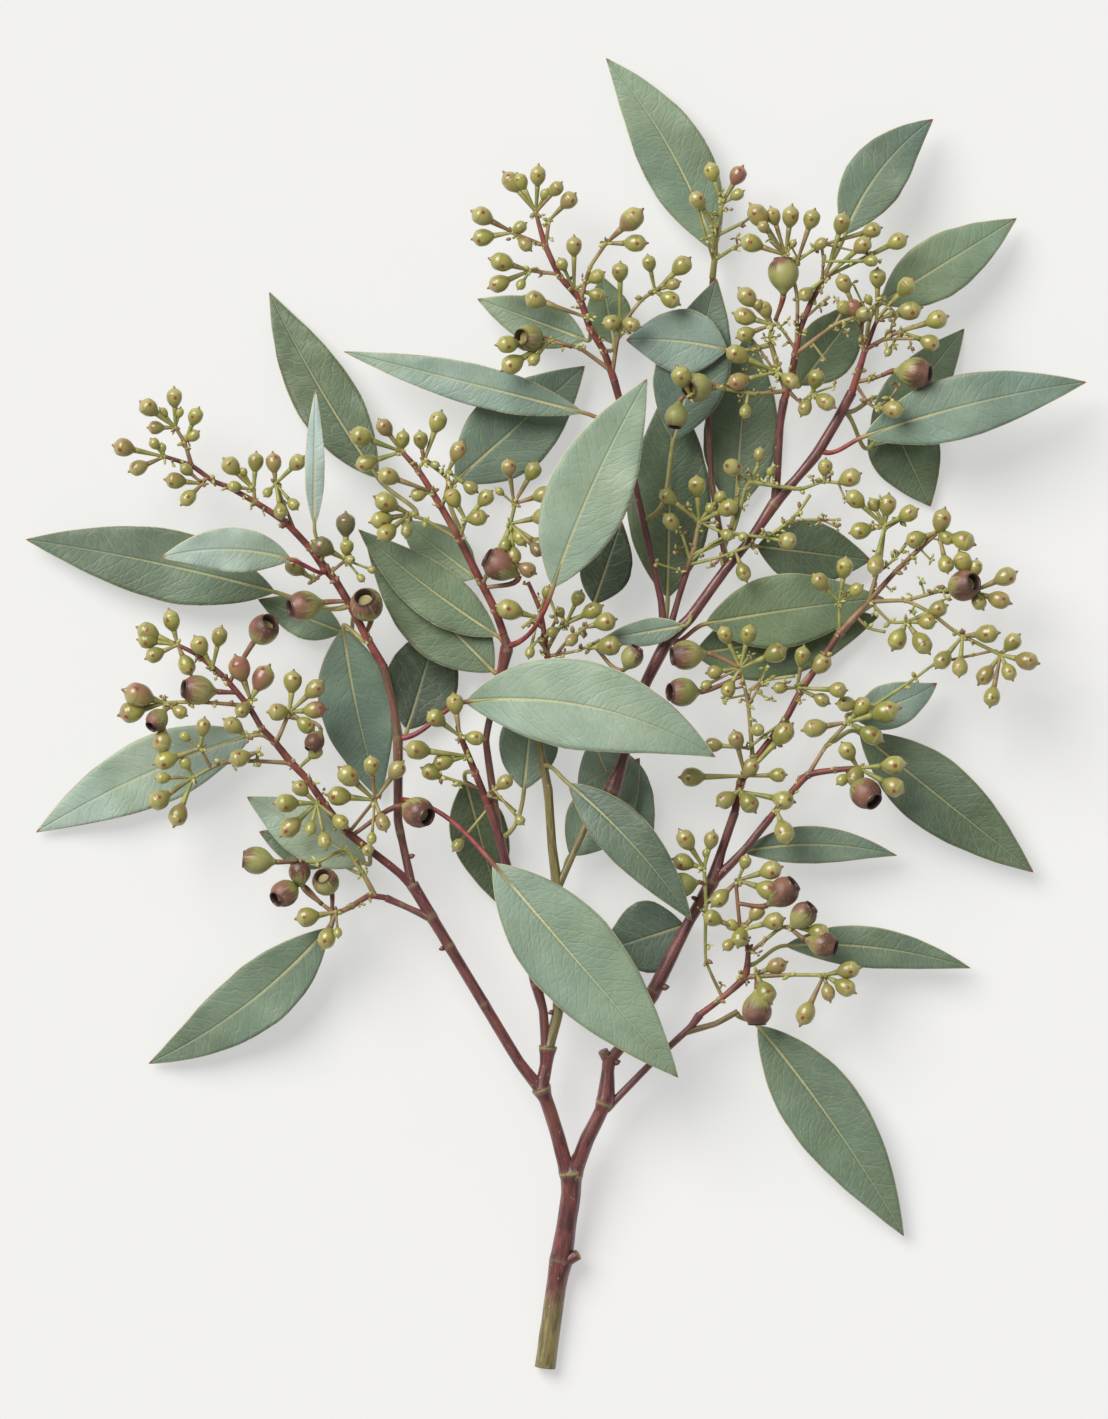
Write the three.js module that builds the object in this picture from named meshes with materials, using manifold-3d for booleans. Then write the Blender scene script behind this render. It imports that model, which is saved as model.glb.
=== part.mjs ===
// A eucalyptus gum nut sprig, cut and laid flat: a woody stem, its leaves, and sprays of buds and open nuts.
// Millimetres. +Z is up off the surface, +Y runs from the cut end to the top of the sprig.
import * as THREE from "three";
import { mergeVertices } from "three/addons/utils/BufferGeometryUtils.js";
import Module from "manifold-3d";

const wasm = await Module();
wasm.setup();

// Driving dimensions
const SPRIG_LENGTH = 448;
const SEAT_GAP = 0.3;
const BRANCH_END_GAP = 0.5;
const BLADE_EDGE = 0.6;
const BLADE_RIB = 1.1;
const PETIOLE_WIDTH = 1.6;
const PEDICEL_WIDTH = 0.9;
const TWIG_WIDTH = 1.3;
const HEAD_WIDTH = 2.2;
const BUD_SLENDERNESS = 1.25;
const NUT_SLENDERNESS = 1.05;

// Places in plan are read off the photograph, in its pixels
const TOP_TIP_PY = 55;
const CUT_END_PY = 1372;
const MIDDLE_PX = 555.5;
const MIDDLE_PY = 713.5;
const MM_PER_PX = SPRIG_LENGTH / (CUT_END_PY - TOP_TIP_PY);

const THICK_SIDES = 6;
const THIN_SIDES = 4;
const TWIG_SIDES = 4;
const SIDE_TWIG_SIDES = 3;
const PEDICEL_SIDES = 3;
const ROOT_DEPTH = 0.5;
const LONG_BLADE = 55;
const LONG_BLADE_STEPS = 6;
const SHORT_BLADE_STEPS = 4;
const PETIOLE_STEPS = 2;

// Branches of the woody stem: points are [px, py, height in mm, width in px]
const BRANCHES = {
  trunk: [
    [545, 1370, 3.1, 21], [556, 1290, 4.6, 20], [561, 1262, 6, 23], [566, 1230, 8, 20],
    [571, 1195, 10.5, 20], [571, 1172, 12, 22], [567, 1160, 13, 15],
  ],
  stub_low: [[560, 1266, 6.5, 13], [578, 1256, 8.5, 11]],
  left_base: [[570, 1184, 12, 16], [556, 1130, 16, 14], [546, 1100, 18, 14], [541, 1088, 19, 18]],
  left_long: [
    [541, 1090, 19, 13], [519, 1062, 19.5, 11], [484, 1004, 20, 11], [449, 946, 20.5, 11], [412, 884, 21, 12],
  ],
  left_outer: [[412, 886, 21, 9], [400, 874, 21.5, 8], [388, 864, 22, 8]],
  left_inner: [
    [412, 886, 21, 9], [403, 845, 21, 8], [398, 820, 21, 9], [398, 738, 22, 10],
    [392, 700, 22, 7], [383, 665, 22, 9],
  ],
  left_twig: [[428, 917, 21, 8], [404, 906, 20.5, 6], [386, 898, 20.5, 8]],
  middle: [[541, 1090, 19, 14], [546, 1065, 19, 13], [548, 1046, 19, 17]],
  middle_left: [
    [546, 1050, 19, 10], [543, 1010, 19, 9], [536, 984, 19, 11], [507, 868, 19, 10],
    [497, 830, 20, 9], [488, 805, 21, 10],
  ],
  middle_high: [
    [499, 838, 19.5, 8], [493, 792, 19, 8], [486, 740, 20, 7], [494, 700, 20.5, 7],
    [508, 650, 22, 10], [503, 632, 22.5, 7],
  ],
  middle_right: [
    [548, 1050, 19, 11], [558, 1010, 18.5, 11], [557, 888, 18, 11], [552, 845, 18.5, 9],
    [548, 790, 19, 9], [540, 745, 19.5, 8], [545, 700, 20.5, 8], [548, 662, 21, 7],
  ],
  middle_cross: [
    [557, 890, 18, 8], [575, 850, 18.5, 7], [588, 822, 19, 7], [603, 802, 19, 13], [612, 790, 19, 18],
    [624, 757, 19.5, 10], [645, 685, 20.5, 11], [668, 640, 21, 13], [690, 618, 21, 11],
    [725, 570, 21, 10], [750, 540, 21, 9], [775, 503, 21, 12], [797, 478, 21, 9], [816, 455, 21.5, 11],
    [836, 422, 22, 10], [852, 392, 22.5, 10],
  ],
  high_left: [
    [665, 645, 21, 10], [661, 600, 21, 7], [634, 480, 21, 7], [622, 410, 22, 7], [614, 380, 23, 8],
  ],
  high_middle: [[668, 635, 21, 8], [678, 600, 21.5, 6], [687, 570, 22, 7]],
  high_right: [[775, 505, 21, 9], [780, 425, 22, 8], [784, 400, 22.5, 9]],
  right_base: [
    [572, 1182, 12, 16], [587, 1140, 15, 15], [601, 1112, 16.5, 14], [606, 1098, 17, 18],
    [608, 1070, 17.5, 13], [610, 1056, 17.5, 15],
  ],
  right_stub: [[608, 1062, 17.5, 10], [603, 1051, 19, 10]],
  right_long: [
    [610, 1060, 17.5, 12], [622, 1046, 17.5, 11], [640, 1015, 18, 12], [652, 995, 18, 15],
    [690, 920, 19, 11], [712, 882, 19.5, 14], [722, 850, 20, 9], [735, 812, 21, 9],
  ],
  right_side: [[714, 880, 19.5, 11], [730, 865, 20, 9], [746, 848, 20.5, 8], [770, 818, 21, 8]],
  low_right: [[606, 1110, 17, 8], [650, 1065, 16, 7], [690, 1028, 16, 7], [700, 1015, 16, 9]],
  low_side: [[684, 1033, 16, 7], [716, 1024, 15, 6], [738, 1012, 14, 6]],
  far_high: [
    [728, 566, 21, 8], [722, 540, 14, 6], [712, 480, 12, 6], [708, 400, 12, 6], [710, 330, 11.5, 6],
    [713, 275, 14, 6],
  ],
};

// Sprays: axes are [px, py, height in mm, width in px] and start where a branch ends.
// A head is [px, py, lift over its axis in mm, buds as [px, py, width in px]].
// A nut is [px, py, width in px, mouth direction in degrees, stalk root px, stalk root py].
const SPRAYS = {
  spray_a: {
    axes: [
      [
        [388, 864, 22, 8], [370, 850, 23, 8], [345, 830, 24, 8], [325, 805, 25, 8], [308, 780, 26, 7],
        [291, 762, 27, 8], [275, 742, 27.5, 7], [262, 728, 28, 6], [250, 708, 28, 6], [225, 678, 28, 6],
        [198, 655, 28, 5], [180, 646, 28, 4],
      ],
      [[248, 706, 28, 5], [215, 703, 30, 4], [190, 702, 31, 4], [165, 703, 31, 4]],
      [[291, 764, 27, 5], [255, 761, 29, 4], [222, 763, 30, 5], [195, 777, 30, 3]],
      [[277, 740, 27.5, 5], [262, 735, 28, 4], [248, 737, 29, 4]],
      [[278, 742, 27.5, 5], [290, 712, 29, 4]],
    ],
    heads: [
      [178, 645, 0, [[148, 632, 19], [172, 621, 17], [155, 655, 16]]],
      [213, 668, 1, [[200, 645, 18], [220, 637, 16]]],
      [165, 703, 0, [[140, 695, 24], [132, 712, 22]]],
      [251, 700, 1, [[263, 678, 22], [240, 668, 22]]],
      [290, 712, 0, [[293, 681, 19], [315, 689, 18]]],
      [248, 736, 0, [[234, 726, 17]]],
      [201, 748, 3, [[167, 760, 19]]],
      [194, 777, 0, [[160, 800, 20], [179, 815, 19]]],
      [258, 752, 2, [[240, 758, 18]]],
      [317, 803, 1, [[287, 803, 19], [291, 827, 19]]],
      [375, 800, 5, [[349, 776, 20], [339, 796, 20], [397, 770, 17]]],
    ],
    nuts: [
      [158, 720, 22, 230, 178, 706], [198, 690, 30, 175, 232, 697], [264, 630, 30, 50, 238, 676],
      [315, 742, 20, 240, 292, 718], [418, 812, 31, 335, 372, 810, 9],
    ],
  },
  spray_b: {
    axes: [
      [
        [383, 665, 22, 8], [368, 640, 23, 8], [350, 605, 24, 8], [335, 580, 25, 8], [325, 568, 25, 9],
        [310, 548, 26, 7], [285, 522, 27, 7], [255, 502, 28, 6], [228, 487, 28, 5], [213, 481, 28, 5],
        [192, 466, 28, 5], [166, 457, 28, 4],
      ],
      [[192, 466, 28, 5], [185, 443, 29, 4], [176, 428, 29, 4]],
      [[255, 503, 28, 4], [254, 490, 29, 4]],
      [[296, 533, 27, 4], [284, 503, 28, 3], [276, 484, 29, 3]],
    ],
    heads: [
      [165, 457, 0, [[124, 448, 19], [139, 468, 16]]],
      [176, 428, 0, [[149, 408, 18], [175, 398, 16]]],
      [185, 443, 0, [[196, 417, 15]]],
      [203, 484, 1, [[176, 481, 17]]],
      [254, 490, 0, [[231, 466, 18], [256, 462, 16]]],
      [276, 484, 0, [[274, 463, 16]]],
      [346, 560, 2, [[346, 524, 20]]],
      [314, 580, -1, [[295, 567, 18]]],
    ],
    nuts: [[304, 606, 31, 190, 346, 602], [367, 605, 33, 110, 368, 634]],
  },
  spray_c: {
    axes: [
      [[386, 898, 20.5, 6], [369, 896, 21.5, 6], [352, 906, 23, 6], [336, 913, 24, 5], [322, 904, 25, 4]],
      [[375, 900, 20.5, 6], [362, 872, 22, 5], [345, 850, 23, 4], [318, 862, 26, 3], [298, 861, 27, 3]],
    ],
    heads: [[336, 912, 1, [[307, 917, 20], [327, 938, 18]]]],
    nuts: [
      [257, 860, 28, 175, 284, 861], [300, 872, 22, 100, 318, 895], [285, 893, 27, 215, 312, 890],
      [326, 882, 27, 120, 334, 908],
    ],
  },
  spray_d: {
    axes: [
      [
        [503, 632, 22.5, 8], [495, 610, 24, 8], [481, 582, 25, 8], [460, 540, 26.5, 8],
        [440, 505, 28, 7], [418, 470, 28, 6], [402, 452, 28, 5],
      ],
      [[483, 584, 25, 5], [499, 550, 29, 4], [510, 525, 29, 4], [516, 500, 29, 4]],
      [[460, 541, 26.5, 4], [425, 520, 27, 4], [408, 514, 27, 3]],
      [[442, 508, 28, 4], [448, 480, 29, 4], [425, 461, 29, 3]],
      [[462, 538, 27, 4], [466, 520, 28, 3]],
    ],
    heads: [
      [402, 452, 0, [[361, 437, 20], [385, 428, 16]]],
      [424, 462, 0, [[438, 422, 18]]],
      [448, 472, 0, [[458, 452, 17]]],
      [432, 492, 1, [[389, 477, 18]]],
      [410, 514, 0, [[387, 503, 20]]],
      [466, 520, 0, [[453, 498, 17], [486, 498, 16]]],
      [514, 504, 0, [[509, 468, 16], [533, 471, 17], [543, 495, 17]]],
      [510, 524, 0, [[543, 517, 18]]],
    ],
    nuts: [[500, 565, 32, 150, 481, 590]],
  },
  spray_e: {
    axes: [
      [[488, 805, 21, 8], [475, 772, 23, 7], [462, 740, 25, 6], [457, 726, 26, 4]],
      [[482, 790, 22, 4], [460, 782, 25, 3], [440, 776, 26, 3]],
      [[484, 795, 21, 5], [502, 800, 23, 3], [516, 812, 23, 3]],
    ],
    heads: [
      [460, 736, 6, [[455, 703, 18], [436, 718, 18]]],
      [468, 756, 2, [[418, 750, 20], [443, 762, 17]]],
      [440, 776, 0, [[431, 772, 17]]],
      [494, 790, 2, [[505, 782, 15]]],
    ],
    nuts: [],
  },
  spray_f: {
    axes: [
      [[548, 662, 21, 7], [546, 645, 22, 6], [540, 610, 23, 5], [528, 582, 24, 4]],
      [[549, 650, 22, 5], [562, 625, 24, 4], [590, 612, 26, 3]],
      [[550, 656, 22, 4], [580, 650, 25, 3], [600, 640, 26, 3]],
    ],
    heads: [
      [538, 618, 1, [[510, 610, 21]]],
      [566, 624, 1, [[592, 611, 17]]],
      [584, 628, 5, [[606, 622, 19]]],
      [590, 648, 6, [[610, 646, 20]]],
    ],
    nuts: [[632, 657, 22, 60, 596, 652, 7]],
  },
  spray_g: {
    axes: [
      [
        [735, 812, 21, 8], [741, 782, 22, 8], [757, 757, 23, 7], [785, 720, 24, 7], [800, 692, 25, 7],
        [825, 655, 26, 7], [840, 633, 27, 8], [868, 602, 28, 6], [895, 572, 28, 5], [920, 548, 29, 5],
        [938, 532, 29, 4],
      ],
      [[748, 760, 23, 5], [748, 705, 27, 4], [740, 668, 28, 4]],
      [[840, 634, 27, 4], [839, 602, 29, 4]],
      [[868, 602, 28, 5], [880, 560, 29, 4], [884, 526, 30, 4]],
      [[868, 602, 28, 5], [905, 601, 29, 4], [930, 613, 30, 4], [955, 632, 30, 4], [1000, 655, 30, 4]],
      [[905, 601, 29, 4], [945, 590, 30, 4], [972, 592, 30, 3]],
      [[870, 604, 28, 4], [890, 622, 29, 3], [906, 622, 30, 3]],
    ],
    heads: [
      [740, 668, 0, [[748, 635, 16], [776, 653, 20]]],
      [797, 688, 1, [[802, 657, 16], [838, 690, 16]]],
      [745, 776, 3, [[783, 734, 20], [692, 777, 20]]],
      [740, 790, 3, [[725, 800, 18], [749, 803, 19]]],
      [839, 602, 0, [[820, 582, 17], [844, 568, 17]]],
      [884, 526, 0, [[887, 505, 18], [908, 514, 17], [860, 531, 18]]],
      [938, 532, 0, [[941, 521, 19], [963, 541, 20]]],
      [972, 592, 0, [[1005, 577, 19], [998, 600, 18]]],
      [962, 636, 0, [[986, 634, 19], [959, 667, 16]]],
      [1000, 655, 0, [[1026, 661, 19], [991, 697, 17]]],
      [906, 622, 0, [[897, 640, 19], [921, 643, 19]]],
    ],
    nuts: [
      [686, 655, 30, 185, 730, 664], [682, 692, 29, 180, 741, 676], [963, 586, 31, 20, 940, 590],
    ],
  },
  spray_h: {
    axes: [
      [[770, 818, 21, 7], [785, 800, 22, 7], [808, 775, 23, 7], [835, 770, 24, 6], [855, 768, 25, 5]],
      [[808, 776, 23, 5], [826, 746, 24, 4], [848, 722, 26, 4]],
    ],
    heads: [
      [788, 796, 3, [[784, 800, 19]]],
      [777, 811, 2, [[784, 832, 20]]],
      [848, 722, 0, [[885, 712, 22], [871, 735, 19], [815, 728, 19]]],
      [858, 768, 0, [[893, 765, 19], [894, 787, 20], [855, 777, 18]]],
    ],
    nuts: [[865, 793, 31, 315, 846, 768]],
  },
  spray_j: {
    axes: [
      [
        [614, 380, 23, 8], [604, 352, 24, 7], [590, 328, 25, 7], [580, 300, 26, 7], [560, 277, 27, 6],
        [545, 245, 28, 6], [536, 214, 29, 4],
      ],
      [[612, 370, 23, 5], [580, 349, 26, 4], [548, 341, 28, 3]],
      [[613, 374, 23, 5], [620, 330, 27, 4], [642, 300, 28, 4], [665, 285, 29, 3]],
      [[580, 301, 26, 5], [590, 268, 29, 4], [606, 244, 30, 4]],
      [[545, 247, 28, 4], [514, 234, 29, 4]],
      [[558, 275, 27, 4], [530, 271, 28, 4]],
      [[546, 246, 28, 4], [549, 221, 29, 4]],
    ],
    heads: [
      [536, 213, 0, [[512, 183, 18], [538, 177, 16]]],
      [549, 221, 0, [[569, 201, 17]]],
      [513, 233, 0, [[482, 217, 19], [483, 238, 18]]],
      [530, 271, 0, [[502, 263, 19], [499, 284, 18]]],
      [574, 290, 0, [[574, 247, 16]]],
      [606, 244, 0, [[631, 221, 22], [635, 244, 18]]],
      [588, 318, 1, [[535, 300, 18]]],
      [549, 342, 0, [[508, 345, 18], [512, 365, 20]]],
      [620, 322, 0, [[620, 272, 17]]],
      [655, 292, 0, [[682, 266, 19], [670, 300, 17]]],
    ],
    nuts: [[529, 338, 28, 180, 572, 347]],
  },
  spray_k: {
    axes: [
      [[687, 570, 22, 6], [694, 548, 23, 5], [699, 522, 24, 4]],
      [[690, 560, 22, 4], [682, 535, 24, 3], [676, 528, 25, 3]],
    ],
    heads: [
      [699, 522, 0, [[697, 486, 18], [668, 497, 16], [728, 508, 18]]],
      [676, 528, 0, [[671, 522, 16]]],
    ],
    nuts: [],
  },
  spray_l: {
    axes: [
      [
        [784, 400, 22.5, 8], [790, 383, 24, 8], [795, 355, 26, 7], [800, 330, 27, 6], [812, 300, 28, 6],
        [825, 278, 29, 4],
      ],
      [[787, 392, 23, 7], [777, 365, 25, 6], [770, 340, 27, 5], [772, 325, 28, 4]],
      [[797, 350, 26, 4], [797, 300, 30, 4], [790, 264, 31, 3]],
      [[797, 355, 26, 5], [835, 325, 31, 4], [855, 318, 32, 3]],
      [[788, 391, 23, 5], [755, 394, 28, 4], [715, 388, 30, 3]],
      [[788, 390, 23, 5], [800, 402, 25, 3], [812, 394, 26, 3]],
    ],
    heads: [
      [785, 256, 0, [[790, 218, 17], [758, 217, 20], [751, 244, 19]]],
      [797, 262, 0, [[811, 220, 17]]],
      [825, 278, 0, [[841, 225, 17], [897, 242, 17], [862, 246, 17]]],
      [772, 325, 0, [[747, 298, 18], [745, 317, 18], [745, 335, 16]]],
      [776, 372, 2, [[737, 355, 19], [738, 382, 18], [790, 381, 16]]],
      [812, 394, 0, [[816, 379, 17], [825, 402, 17]]],
      [858, 318, 0, [[843, 284, 16]]],
      [690, 396, 4, [[681, 377, 20]]],
    ],
    nuts: [
      [783, 274, 31, 90, 779, 318], [697, 388, 29, 195, 730, 391], [676, 417, 23, 260, 690, 398],
    ],
  },
  spray_m: {
    axes: [
      [[852, 392, 22.5, 8], [859, 370, 24, 7], [865, 350, 25, 6], [876, 322, 26, 4]],
      [[855, 382, 23, 5], [872, 379, 24, 4], [886, 374, 25, 3]],
      [[866, 350, 25, 5], [890, 336, 26, 4], [914, 326, 27, 3]],
      [[855, 383, 23, 4], [868, 403, 24, 3], [876, 408, 26, 3]],
    ],
    heads: [
      [877, 319, 0, [[877, 278, 17], [906, 287, 18], [909, 311, 20]]],
      [900, 332, 0, [[937, 320, 19], [930, 343, 17]]],
      [876, 408, 4, [[893, 410, 18]]],
    ],
    nuts: [[915, 373, 31, 355, 882, 376]],
  },
  spray_n: {
    axes: [
      [[713, 275, 14, 7], [715, 255, 17, 6], [716, 235, 20, 5], [722, 205, 22, 4]],
      [[716, 236, 20, 4], [744, 222, 21, 3]],
      [[715, 260, 16, 4], [736, 246, 20, 3]],
    ],
    heads: [
      [722, 204, 0, [[712, 172, 16], [738, 175, 17]]],
      [714, 226, 1, [[698, 201, 17]]],
    ],
    nuts: [],
  },
  spray_q: {
    axes: [
      [[700, 1015, 16, 7], [720, 1000, 17, 6], [745, 977, 18, 8], [748, 950, 21, 5], [740, 925, 23, 4],
        [736, 885, 25, 4]],
      [[722, 997, 17, 4], [706, 960, 20, 3], [706, 905, 23, 4], [704, 868, 25, 4]],
      [[745, 977, 18, 6], [790, 975, 21, 4], [825, 975, 23, 4]],
      [[748, 955, 21, 4], [780, 928, 24, 4], [792, 926, 25, 3]],
    ],
    heads: [
      [704, 868, 0, [[686, 840, 18], [683, 862, 18]]],
      [738, 880, 0, [[771, 870, 19], [768, 890, 20], [720, 898, 17]]],
      [742, 930, 1, [[740, 938, 18], [774, 921, 18]]],
      [792, 926, 0, [[819, 932, 18]]],
      [756, 974, 1, [[777, 966, 17], [766, 993, 20]]],
      [824, 975, 0, [[848, 970, 18], [845, 987, 18], [806, 1013, 19]]],
    ],
    nuts: [
      [682, 885, 25, 190, 706, 884], [783, 892, 30, 40, 752, 902], [803, 915, 26, 45, 786, 930],
      [823, 944, 27, 345, 790, 938], [757, 1010, 30, 270, 757, 984],
    ],
  },
};

// Leaves: joint is where the petiole leaves its twig; base and tip end the blade; places are [px, py].
// width and bow (the midrib's bend, to the left of the way to the tip) are in px; rise is the blade's
// height in mm at base, middle and tip. Two blades that spring from one joint make one piece.
const LEAVES = {
  leaf_01: [{ joint: [713, 272], base: [715, 250], tip: [606, 56], width: 71, bow: -11, rise: [9, 9, 6] }],
  leaf_02: [{ joint: [820, 286], base: [845, 235], tip: [934, 118], width: 60, bow: 11, rise: [21, 18, 12] }],
  leaf_03: [{ joint: [868, 343], base: [880, 304], tip: [1018, 217], width: 62, bow: 0, rise: [19, 15, 8] }],
  leaf_04: [{ joint: [820, 450], base: [863, 437], tip: [1087, 382], width: 64, bow: 6, rise: [23, 26, 20] }],
  leaf_05: [
    { joint: [842, 410], base: [872, 445], tip: [966, 327], width: 58, bow: 0, rise: [11, 8, 0] },
    { joint: [842, 410], base: [884, 402], tip: [932, 506], width: 72, bow: 0, rise: [7, 4, 3] },
  ],
  leaf_06: [
    { joint: [672, 640], base: [705, 624], tip: [885, 598], width: 74, bow: 2, rise: [19, 15, 11] },
    { joint: [672, 640], base: [694, 654], tip: [880, 616], width: 78, bow: -3, rise: [12, 8, 5] },
  ],
  leaf_07: [{ joint: [752, 540], base: [757, 546], tip: [872, 560], width: 66, bow: 0, rise: [15, 11, 8] }],
  leaf_08: [{ joint: [848, 722], base: [850, 714], tip: [938, 683], width: 46, bow: -6, rise: [20, 16, 10] }],
  leaf_09: [{ joint: [832, 742], base: [860, 733], tip: [1035, 873], width: 72, bow: 0, rise: [14, 11, 7] }],
  leaf_10: [{ joint: [732, 862], base: [742, 852], tip: [898, 856], width: 38, bow: 9, rise: [17, 14, 10] }],
  leaf_11: [{ joint: [748, 966], base: [785, 946], tip: [972, 969], width: 42, bow: 9, rise: [15, 13, 8] }],
  leaf_12: [{ joint: [736, 1012], base: [758, 1026], tip: [905, 1238], width: 78, bow: 6, rise: [9, 9, 5] }],
  leaf_13: [{ joint: [398, 738], base: [465, 702], tip: [715, 757], width: 90, bow: 22, rise: [27, 44, 42] }],
  leaf_14: [{ joint: [398, 800], base: [493, 863], tip: [678, 1077], width: 94, bow: 0, rise: [32, 38, 32] }],
  leaf_15: [{ joint: [508, 646], base: [553, 588], tip: [647, 380], width: 84, bow: 6, rise: [38, 46, 42] }],
  leaf_16: [
    { joint: [506, 644], base: [498, 636], tip: [358, 529], width: 54, bow: 4, rise: [19, 18, 18] },
    { joint: [506, 644], base: [494, 672], tip: [366, 543], width: 80, bow: 0, rise: [16, 14, 14] },
  ],
  leaf_17: [{ joint: [327, 571], base: [292, 560], tip: [161, 558], width: 45, bow: -9, rise: [35, 38, 32] }],
  leaf_18: [{ joint: [350, 605], base: [275, 592], tip: [24, 539], width: 72, bow: -4, rise: [14, 10, 6] }],
  leaf_19: [{ joint: [416, 517], base: [378, 478], tip: [268, 290], width: 64, bow: 5, rise: [14, 9, 0] }],
  leaf_20: [{ joint: [320, 561], base: [315, 528], tip: [316, 390], width: 20, bow: 0, rise: [34, 38, 34] }],
  leaf_21: [{ joint: [624, 424], base: [585, 413], tip: [343, 351], width: 42, bow: 0, rise: [20, 20, 14] }],
  leaf_22: [{ joint: [461, 541], base: [455, 481], tip: [585, 365], width: 85, bow: 0, rise: [10, 9, 8] }],
  leaf_23: [{ joint: [592, 332], base: [586, 340], tip: [477, 298], width: 48, bow: 0, rise: [18, 14, 9] }],
  leaf_24: [{ joint: [604, 352], base: [614, 344], tip: [602, 275], width: 46, bow: 0, rise: [15, 11, 8] }],
  leaf_25: [{ joint: [771, 345], base: [727, 350], tip: [626, 340], width: 66, bow: -4, rise: [21, 21, 18] }],
  leaf_26: [{ joint: [643, 520], base: [674, 440], tip: [717, 278], width: 75, bow: 0, rise: [16, 18, 17] }],
  leaf_27: [{ joint: [668, 634], base: [668, 598], tip: [672, 380], width: 84, bow: 0, rise: [9, 8, 8] }],
  leaf_28: [{ joint: [727, 568], base: [735, 510], tip: [750, 330], width: 75, bow: 0, rise: [6, 4, 4] }],
  leaf_29: [{ joint: [792, 372], base: [800, 385], tip: [865, 300], width: 60, bow: 0, rise: [16, 12, 9] }],
  leaf_30: [{ joint: [368, 641], base: [343, 628], tip: [380, 800], width: 74, bow: -4, rise: [16, 9, 5] }],
  leaf_31: [{ joint: [398, 738], base: [407, 730], tip: [440, 618], width: 74, bow: 0, rise: [9, 5, 4] }],
  leaf_32: [{ joint: [500, 838], base: [524, 790], tip: [535, 680], width: 60, bow: 0, rise: [15, 12, 9] }],
  leaf_33: [{ joint: [475, 772], base: [465, 780], tip: [498, 905], width: 58, bow: 0, rise: [12, 6, 4] }],
  leaf_34: [{ joint: [565, 871], base: [570, 856], tip: [640, 758], width: 62, bow: 0, rise: [12, 10, 8] }],
  leaf_35: [{ joint: [628, 745], base: [592, 738], tip: [648, 868], width: 72, bow: 0, rise: [8, 5, 4] }],
  leaf_36: [{ joint: [542, 766], base: [568, 783], tip: [692, 921], width: 52, bow: 7, rise: [28, 34, 28] }],
  leaf_37: [{ joint: [690, 920], base: [685, 926], tip: [602, 952], width: 74, bow: 0, rise: [10, 8, 5] }],
  leaf_38: [{ joint: [334, 913], base: [328, 928], tip: [147, 1065], width: 66, bow: 12, rise: [15, 12, 3] }],
  leaf_39: [{ joint: [262, 729], base: [252, 735], tip: [34, 833], width: 70, bow: -8, rise: [13, 9, 3] }],
  leaf_40: [{ joint: [372, 851], base: [366, 864], tip: [246, 797], width: 58, bow: 0, rise: [15, 12, 9] }],
  leaf_41: [{ joint: [362, 873], base: [335, 862], tip: [258, 832], width: 40, bow: 0, rise: [8, 6, 5] }],
  leaf_42: [{ joint: [356, 616], base: [342, 632], tip: [257, 599], width: 42, bow: 0, rise: [8, 6, 4] }],
  leaf_43: [{ joint: [692, 617], base: [684, 626], tip: [600, 640], width: 28, bow: 0, rise: [25, 26, 25] }],
  leaf_44: [{ joint: [572, 620], base: [594, 604], tip: [622, 520], width: 52, bow: 0, rise: [13, 9, 7] }],
  leaf_45: [{ joint: [482, 586], base: [476, 578], tip: [400, 520], width: 52, bow: 0, rise: [13, 11, 10] }],
};

const mmOf = (px) => px * MM_PER_PX;
const placed = (px, py, z) => new THREE.Vector3(mmOf(px - MIDDLE_PX), mmOf(MIDDLE_PY - py), z);
const UP = new THREE.Vector3(0, 0, 1);
const ALONG = new THREE.Vector3(0, 1, 0);

// A draw between two values that is seeded by a place in plan, so it is alike on every run
function drawAt(px, py, low, high) {
  const seed = (Math.imul(px, 73856093) ^ Math.imul(py, 19349663)) >>> 0;
  return low + ((high - low) * (seed % 1000)) / 1000;
}

// Across and over directions for a piece that runs along a tangent
function frameOf(tangent) {
  const reference = Math.abs(tangent.z) < 0.95 ? UP : ALONG;
  const across = new THREE.Vector3().crossVectors(tangent, reference).normalize();
  return { across, over: new THREE.Vector3().crossVectors(across, tangent).normalize() };
}

// One closed skin over rings of points, each ring closed to its end point by a fan.
// On the sides whose number is in flipped, the quads are split along the other diagonal.
function ringSkin(rings, start, end, flipped = []) {
  const count = rings[0].length;
  const points = [start, ...rings.flat(), end];
  const faces = [];
  const id = (ring, side) => 1 + ring * count + (side % count);
  for (let side = 0; side < count; side++) {
    faces.push(0, id(0, side + 1), id(0, side));
    faces.push(points.length - 1, id(rings.length - 1, side), id(rings.length - 1, side + 1));
    for (let ring = 0; ring + 1 < rings.length; ring++) {
      const [a, b] = [id(ring, side), id(ring, side + 1)];
      const [d, c] = [id(ring + 1, side), id(ring + 1, side + 1)];
      if (flipped.includes(side)) faces.push(a, b, d, b, c, d);
      else faces.push(a, b, c, a, c, d);
    }
  }
  const skin = new THREE.BufferGeometry().setFromPoints(points);
  skin.setIndex(faces);
  return skin;
}

function roundRing(centre, tangent, radius, sides) {
  const { across, over } = frameOf(tangent);
  return Array.from({ length: sides }, (_, k) => {
    const angle = (2 * Math.PI * k) / sides;
    return centre.clone()
      .addScaledVector(over, radius * Math.cos(angle))
      .addScaledVector(across, radius * Math.sin(angle));
  });
}

// A run of wood: places along it, with a radius at each
function runOf(points) {
  return {
    places: points.map(([px, py, z]) => placed(px, py, z)),
    radii: points.map((point) => mmOf(point[3]) / 2),
  };
}

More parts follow.
